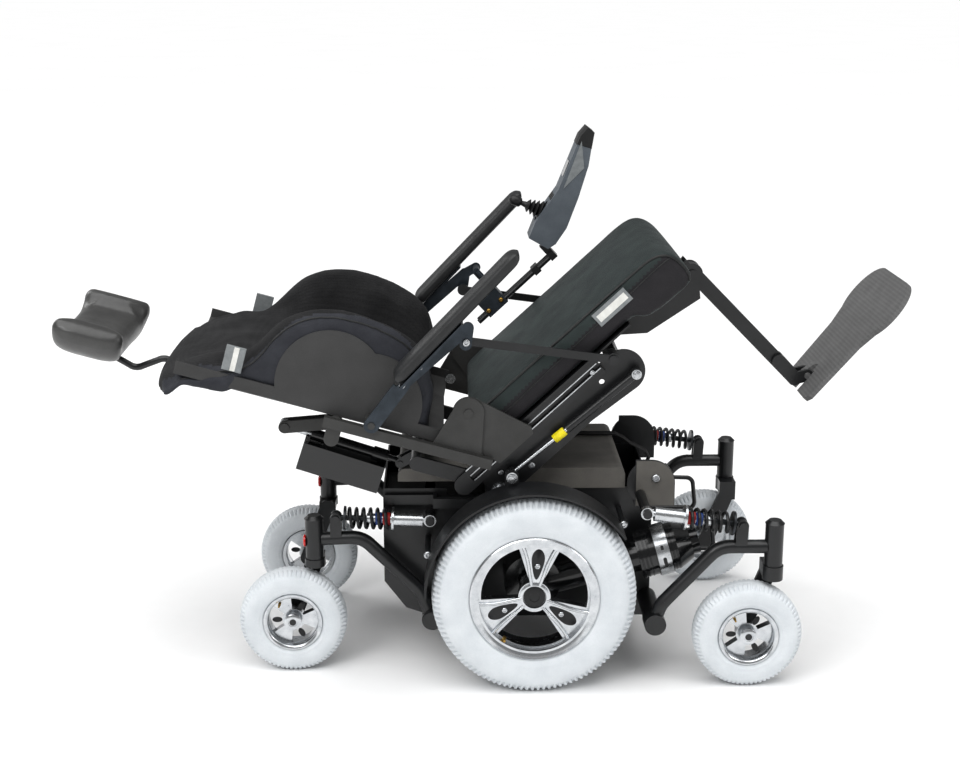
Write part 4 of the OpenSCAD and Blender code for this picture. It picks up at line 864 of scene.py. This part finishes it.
# ---------------------------------------------------------------- screws, pins and other hardware
# By body: the frame, then each screw's place (forward, up, out), its kind and its radius
HARDWARE = {
    "seat": (SEAT, [(46, 91, 187.5, nut, 8), (150, 7, 194.8, bolt, 5), (94, 8, 194.8, bolt, 5),
                    (39, -43, 186.5, nut, 12), (300, 6, 194.8, bolt, 5), (250, -44, 186.3, bolt, 6),
                    (110, -48, 186.3, bolt, 6), (355, -44, 212.8, nut, 7), (62, -20, 186.3, bolt, 5),
                    (330, -50, 186.3, bolt, 6)]),
    "base": (BASE, [(-38, 380, 228.8, nut, 8), (-178, 95, 146.8, bolt, 8), (213, 118, 146.8, bolt, 8),
                    (-120, 120, 132.2, bolt, 6), (120, 120, 132.2, bolt, 6), (-185, 236, 219.6, bolt, 7),
                    (158, 290, 219.6, bolt, 7)]),
    "armrests": (SEAT, [(186, 202, 243.4, bolt, 7), (100, 224, 243.4, bolt, 5), (57, 222, 243.4, bolt, 6)]),
}
# Height of each kind of head, as a share of its radius
HEAD = {nut: 0.75, bolt: 0.55}
for body, (at, spots) in HARDWARE.items():
    heads = [moved(kind(size, size * HEAD[kind]), facing(a, b, side * y, side))
             for a, b, y, kind, size in spots for side in (-1, 1)]
    build(f"{body}_hardware", heads, at, zinc_steel, body, 50)

# Bright edges of the slotted rails
edges = []
for side in (-1, 1):
    for n in (2.6, 13.6):
        strip = slab([(20, n - 0.9), (316, n - 0.9), (316, n + 0.9), (20, n + 0.9)], 0, 0.9, 0.25)
        edges.append(moved(strip, upright(side * RAIL_FACE, 0, side)))
    strip = slab([(330, 26), (20, 26.2), (20, 24.4), (330, 24.2)], 0, 0.9, 0.25)
    edges.append(moved(strip, upright(side * (RAIL_FACE - 0.2), 0, side)))
build("rail_bright_edges", edges, SEAT, zinc_steel, "seat", 40)

# Red reflectors on the rear barrels
lens_of = turned([(11, 0), (11, 3), (9.6, 4.2), (2, 4.4)], 32)
for word, side in SIDES.items():
    x = AXLE[0] - REAR_SWIVEL - 15.4
    backward = np.array([[0, 0, -1, x], [1, 0, 0, side * REAR_Y], [0, -1, 0, 244], [0, 0, 0, 1.0]])
    build(f"rear_reflector_{word}", [moved(lens_of, backward)], np.eye(4), reflector_red,
          f"arm_rear_{word}", 40)

# Coloured bumpers inside the springs, on the line from a shock's eye to its lug
for spot, eye, lug in (("rear", (-181, 281), (-348, 287)), ("front", (195, 320), (361, 298))):
    for word, side in SIDES.items():
        body = f"shock_body_{spot}_{word}"
        deg = math.degrees(math.atan2(lug[1] - eye[1], lug[0] - eye[0]))
        at = BASE @ place(*eye, deg, middle(body)[1])
        for shade, x0, x1, rubber in (("red", 70, 84, band_red), ("blue", 85, 97, band_blue)):
            band = turned([(10.0, x0), (11.5, x0 + 1.2), (11.5, x1 - 1.2), (10.0, x1)], 32)
            build(f"shock_bumper_{shade}_{spot}_{word}", [moved(band, ALONG)], at, rubber, body,
                  50)

# Bright clamp bands round the drive motors with dark adjusting slots, and the motors' cooling grooves
for word, side in SIDES.items():
    at = BASE @ place(0, 166, 15.5, side * 182)
    band = moved(turned([(44.6, 227.5), (46.2, 228), (46.2, 251), (44.6, 251.5)], 72), ALONG)
    build(f"motor_band_{word}", [band], at, zinc_steel, "base", 50)
    t = np.linspace(0, 2 * np.pi, 20, endpoint=False)
    slot = np.stack([3.2 * np.cos(t), 3.2 * np.sin(t) + 6 * np.sign(np.sin(t))], 1)
    cuts = [moved(slab(slot, -2, 0.4, 0.2), facing(239.5, -8, side * 45.9, side)),
            moved(slab(slot * 0.8, -2, 0.4, 0.2), facing(239.5, 16, side * 43.3, side))]
    build(f"motor_band_slots_{word}", cuts, at, pocket_paint, "base", 50)
    rings = [moved(turned([(41.6, x), (43.0, x + 0.8), (43.0, x + 2.2), (41.6, x + 3)], 64), ALONG)
             for x in (200, 207, 214, 256, 262)]
    build(f"motor_grooves_{word}", rings, at, enamel_black, "base", 50)

# Warm grey covers in front of the deck, rounded at their front top corner, each with a bright bolt
t = np.linspace(0, math.radians(90), 32)
quarter = np.vstack([np.stack([214 + 42 * np.cos(t), 340 + 42 * np.sin(t)], 1), [(187, 382), (187, 298), (256, 298)]])
cover = slab(quarter, 0, 1.4, 0.5)
covers = [moved(cover, facing(0, 0, side * 144.1, side) @ np.diag([1, -side, 1, 1.0])) for side in (-1, 1)]
build("quarter_covers", covers, BASE, abs_deck, "base", 40)
bolts = [moved(bolt(8, 5), facing(222, 350, side * 145.2, side)) for side in (-1, 1)]
build("quarter_cover_bolts", bolts, BASE, zinc_steel, "base", 50)

# Yellow blank tags wrapped on the gas struts, each on the line from its lower pivot to its eye on the rail
low_eye = np.array((-38.0, 380.0))
run = (SEAT @ np.array([355, 0, -44, 1.0]))[[0, 2]] - [AXLE[0], 0] - low_eye
tag = moved(turned([(7.2, 96), (8.0, 97), (8.0, 119), (7.2, 120)], 24), ALONG)
for word, side in SIDES.items():
    at = BASE @ place(*low_eye, math.degrees(math.atan2(run[1], run[0])), side * 204.5)
    build(f"strut_tag_{word}", [tag], at, tag_yellow, "gas_strut_cylinders", 50)

# ---------------------------------------------------------------- room, light and camera
floor_mesh = bpy.data.meshes.new("floor")
floor_mesh.from_pydata([(-150, -150, 0), (150, -150, 0), (150, 150, 0), (-150, 150, 0)], [], [(0, 1, 2, 3)])
floor = bpy.data.objects.new("floor", floor_mesh)
bpy.context.scene.collection.objects.link(floor)
# Matt white studio floor, very slightly mottled
floor_mesh.materials.append(finish("studio_floor_white", "#f7f7f7", "#f3f3f3", (0.85, 0.95), 900, 40)[0])

world = bpy.data.worlds.new("studio")
bpy.context.scene.world = world
world.use_nodes = True
world.node_tree.nodes["Background"].inputs["Color"].default_value = (1, 1, 1, 1)
world.node_tree.nodes["Background"].inputs["Strength"].default_value = 0.3


def softbox(name, where, aim, width, height, power):
    """Soft rectangular light at a point, turned to face another."""
    data = bpy.data.lights.new(name, "AREA")
    data.shape, data.size, data.size_y, data.energy = "RECTANGLE", width, height, power
    lamp = bpy.data.objects.new(name, data)
    lamp.location = where
    lamp.rotation_euler = (Vector(aim) - Vector(where)).to_track_quat("-Z", "Y").to_euler()
    bpy.context.scene.collection.objects.link(lamp)


softbox("softbox_near", (-1.7, -2.6, 2.3), (0, 0, 0.4), 1.2, 1.2, 26)
softbox("softbox_front", (2.6, -1.6, 1.7), (0, 0, 0.4), 1.0, 1.6, 16)
softbox("softbox_rear", (-2.6, 1.8, 2.2), (0, 0, 0.45), 1.2, 1.6, 20)
# One wide overhead diffuser, far enough away to light the whole floor evenly
overhead = bpy.data.lights.new("overhead_diffuser", "SUN")
overhead.energy, overhead.angle = 2.75, math.radians(70)
lamp = bpy.data.objects.new("overhead_diffuser", overhead)
lamp.location, lamp.rotation_euler = (0, 0, 4), (math.radians(14), math.radians(-8), 0)
bpy.context.scene.collection.objects.link(lamp)
bpy.context.scene.view_settings.view_transform = "Standard"
bpy.context.scene.view_settings.gamma = 0.9

lens = bpy.data.cameras.new("camera")
lens.sensor_width, lens.lens = 36, 57.86
camera = bpy.data.objects.new("camera", lens)
camera.location = (-0.0590, -2.754, 1.227)
camera.rotation_euler = (math.radians(75.12), 0, math.radians(-1.15))
bpy.context.scene.collection.objects.link(camera)
bpy.context.scene.camera = camera
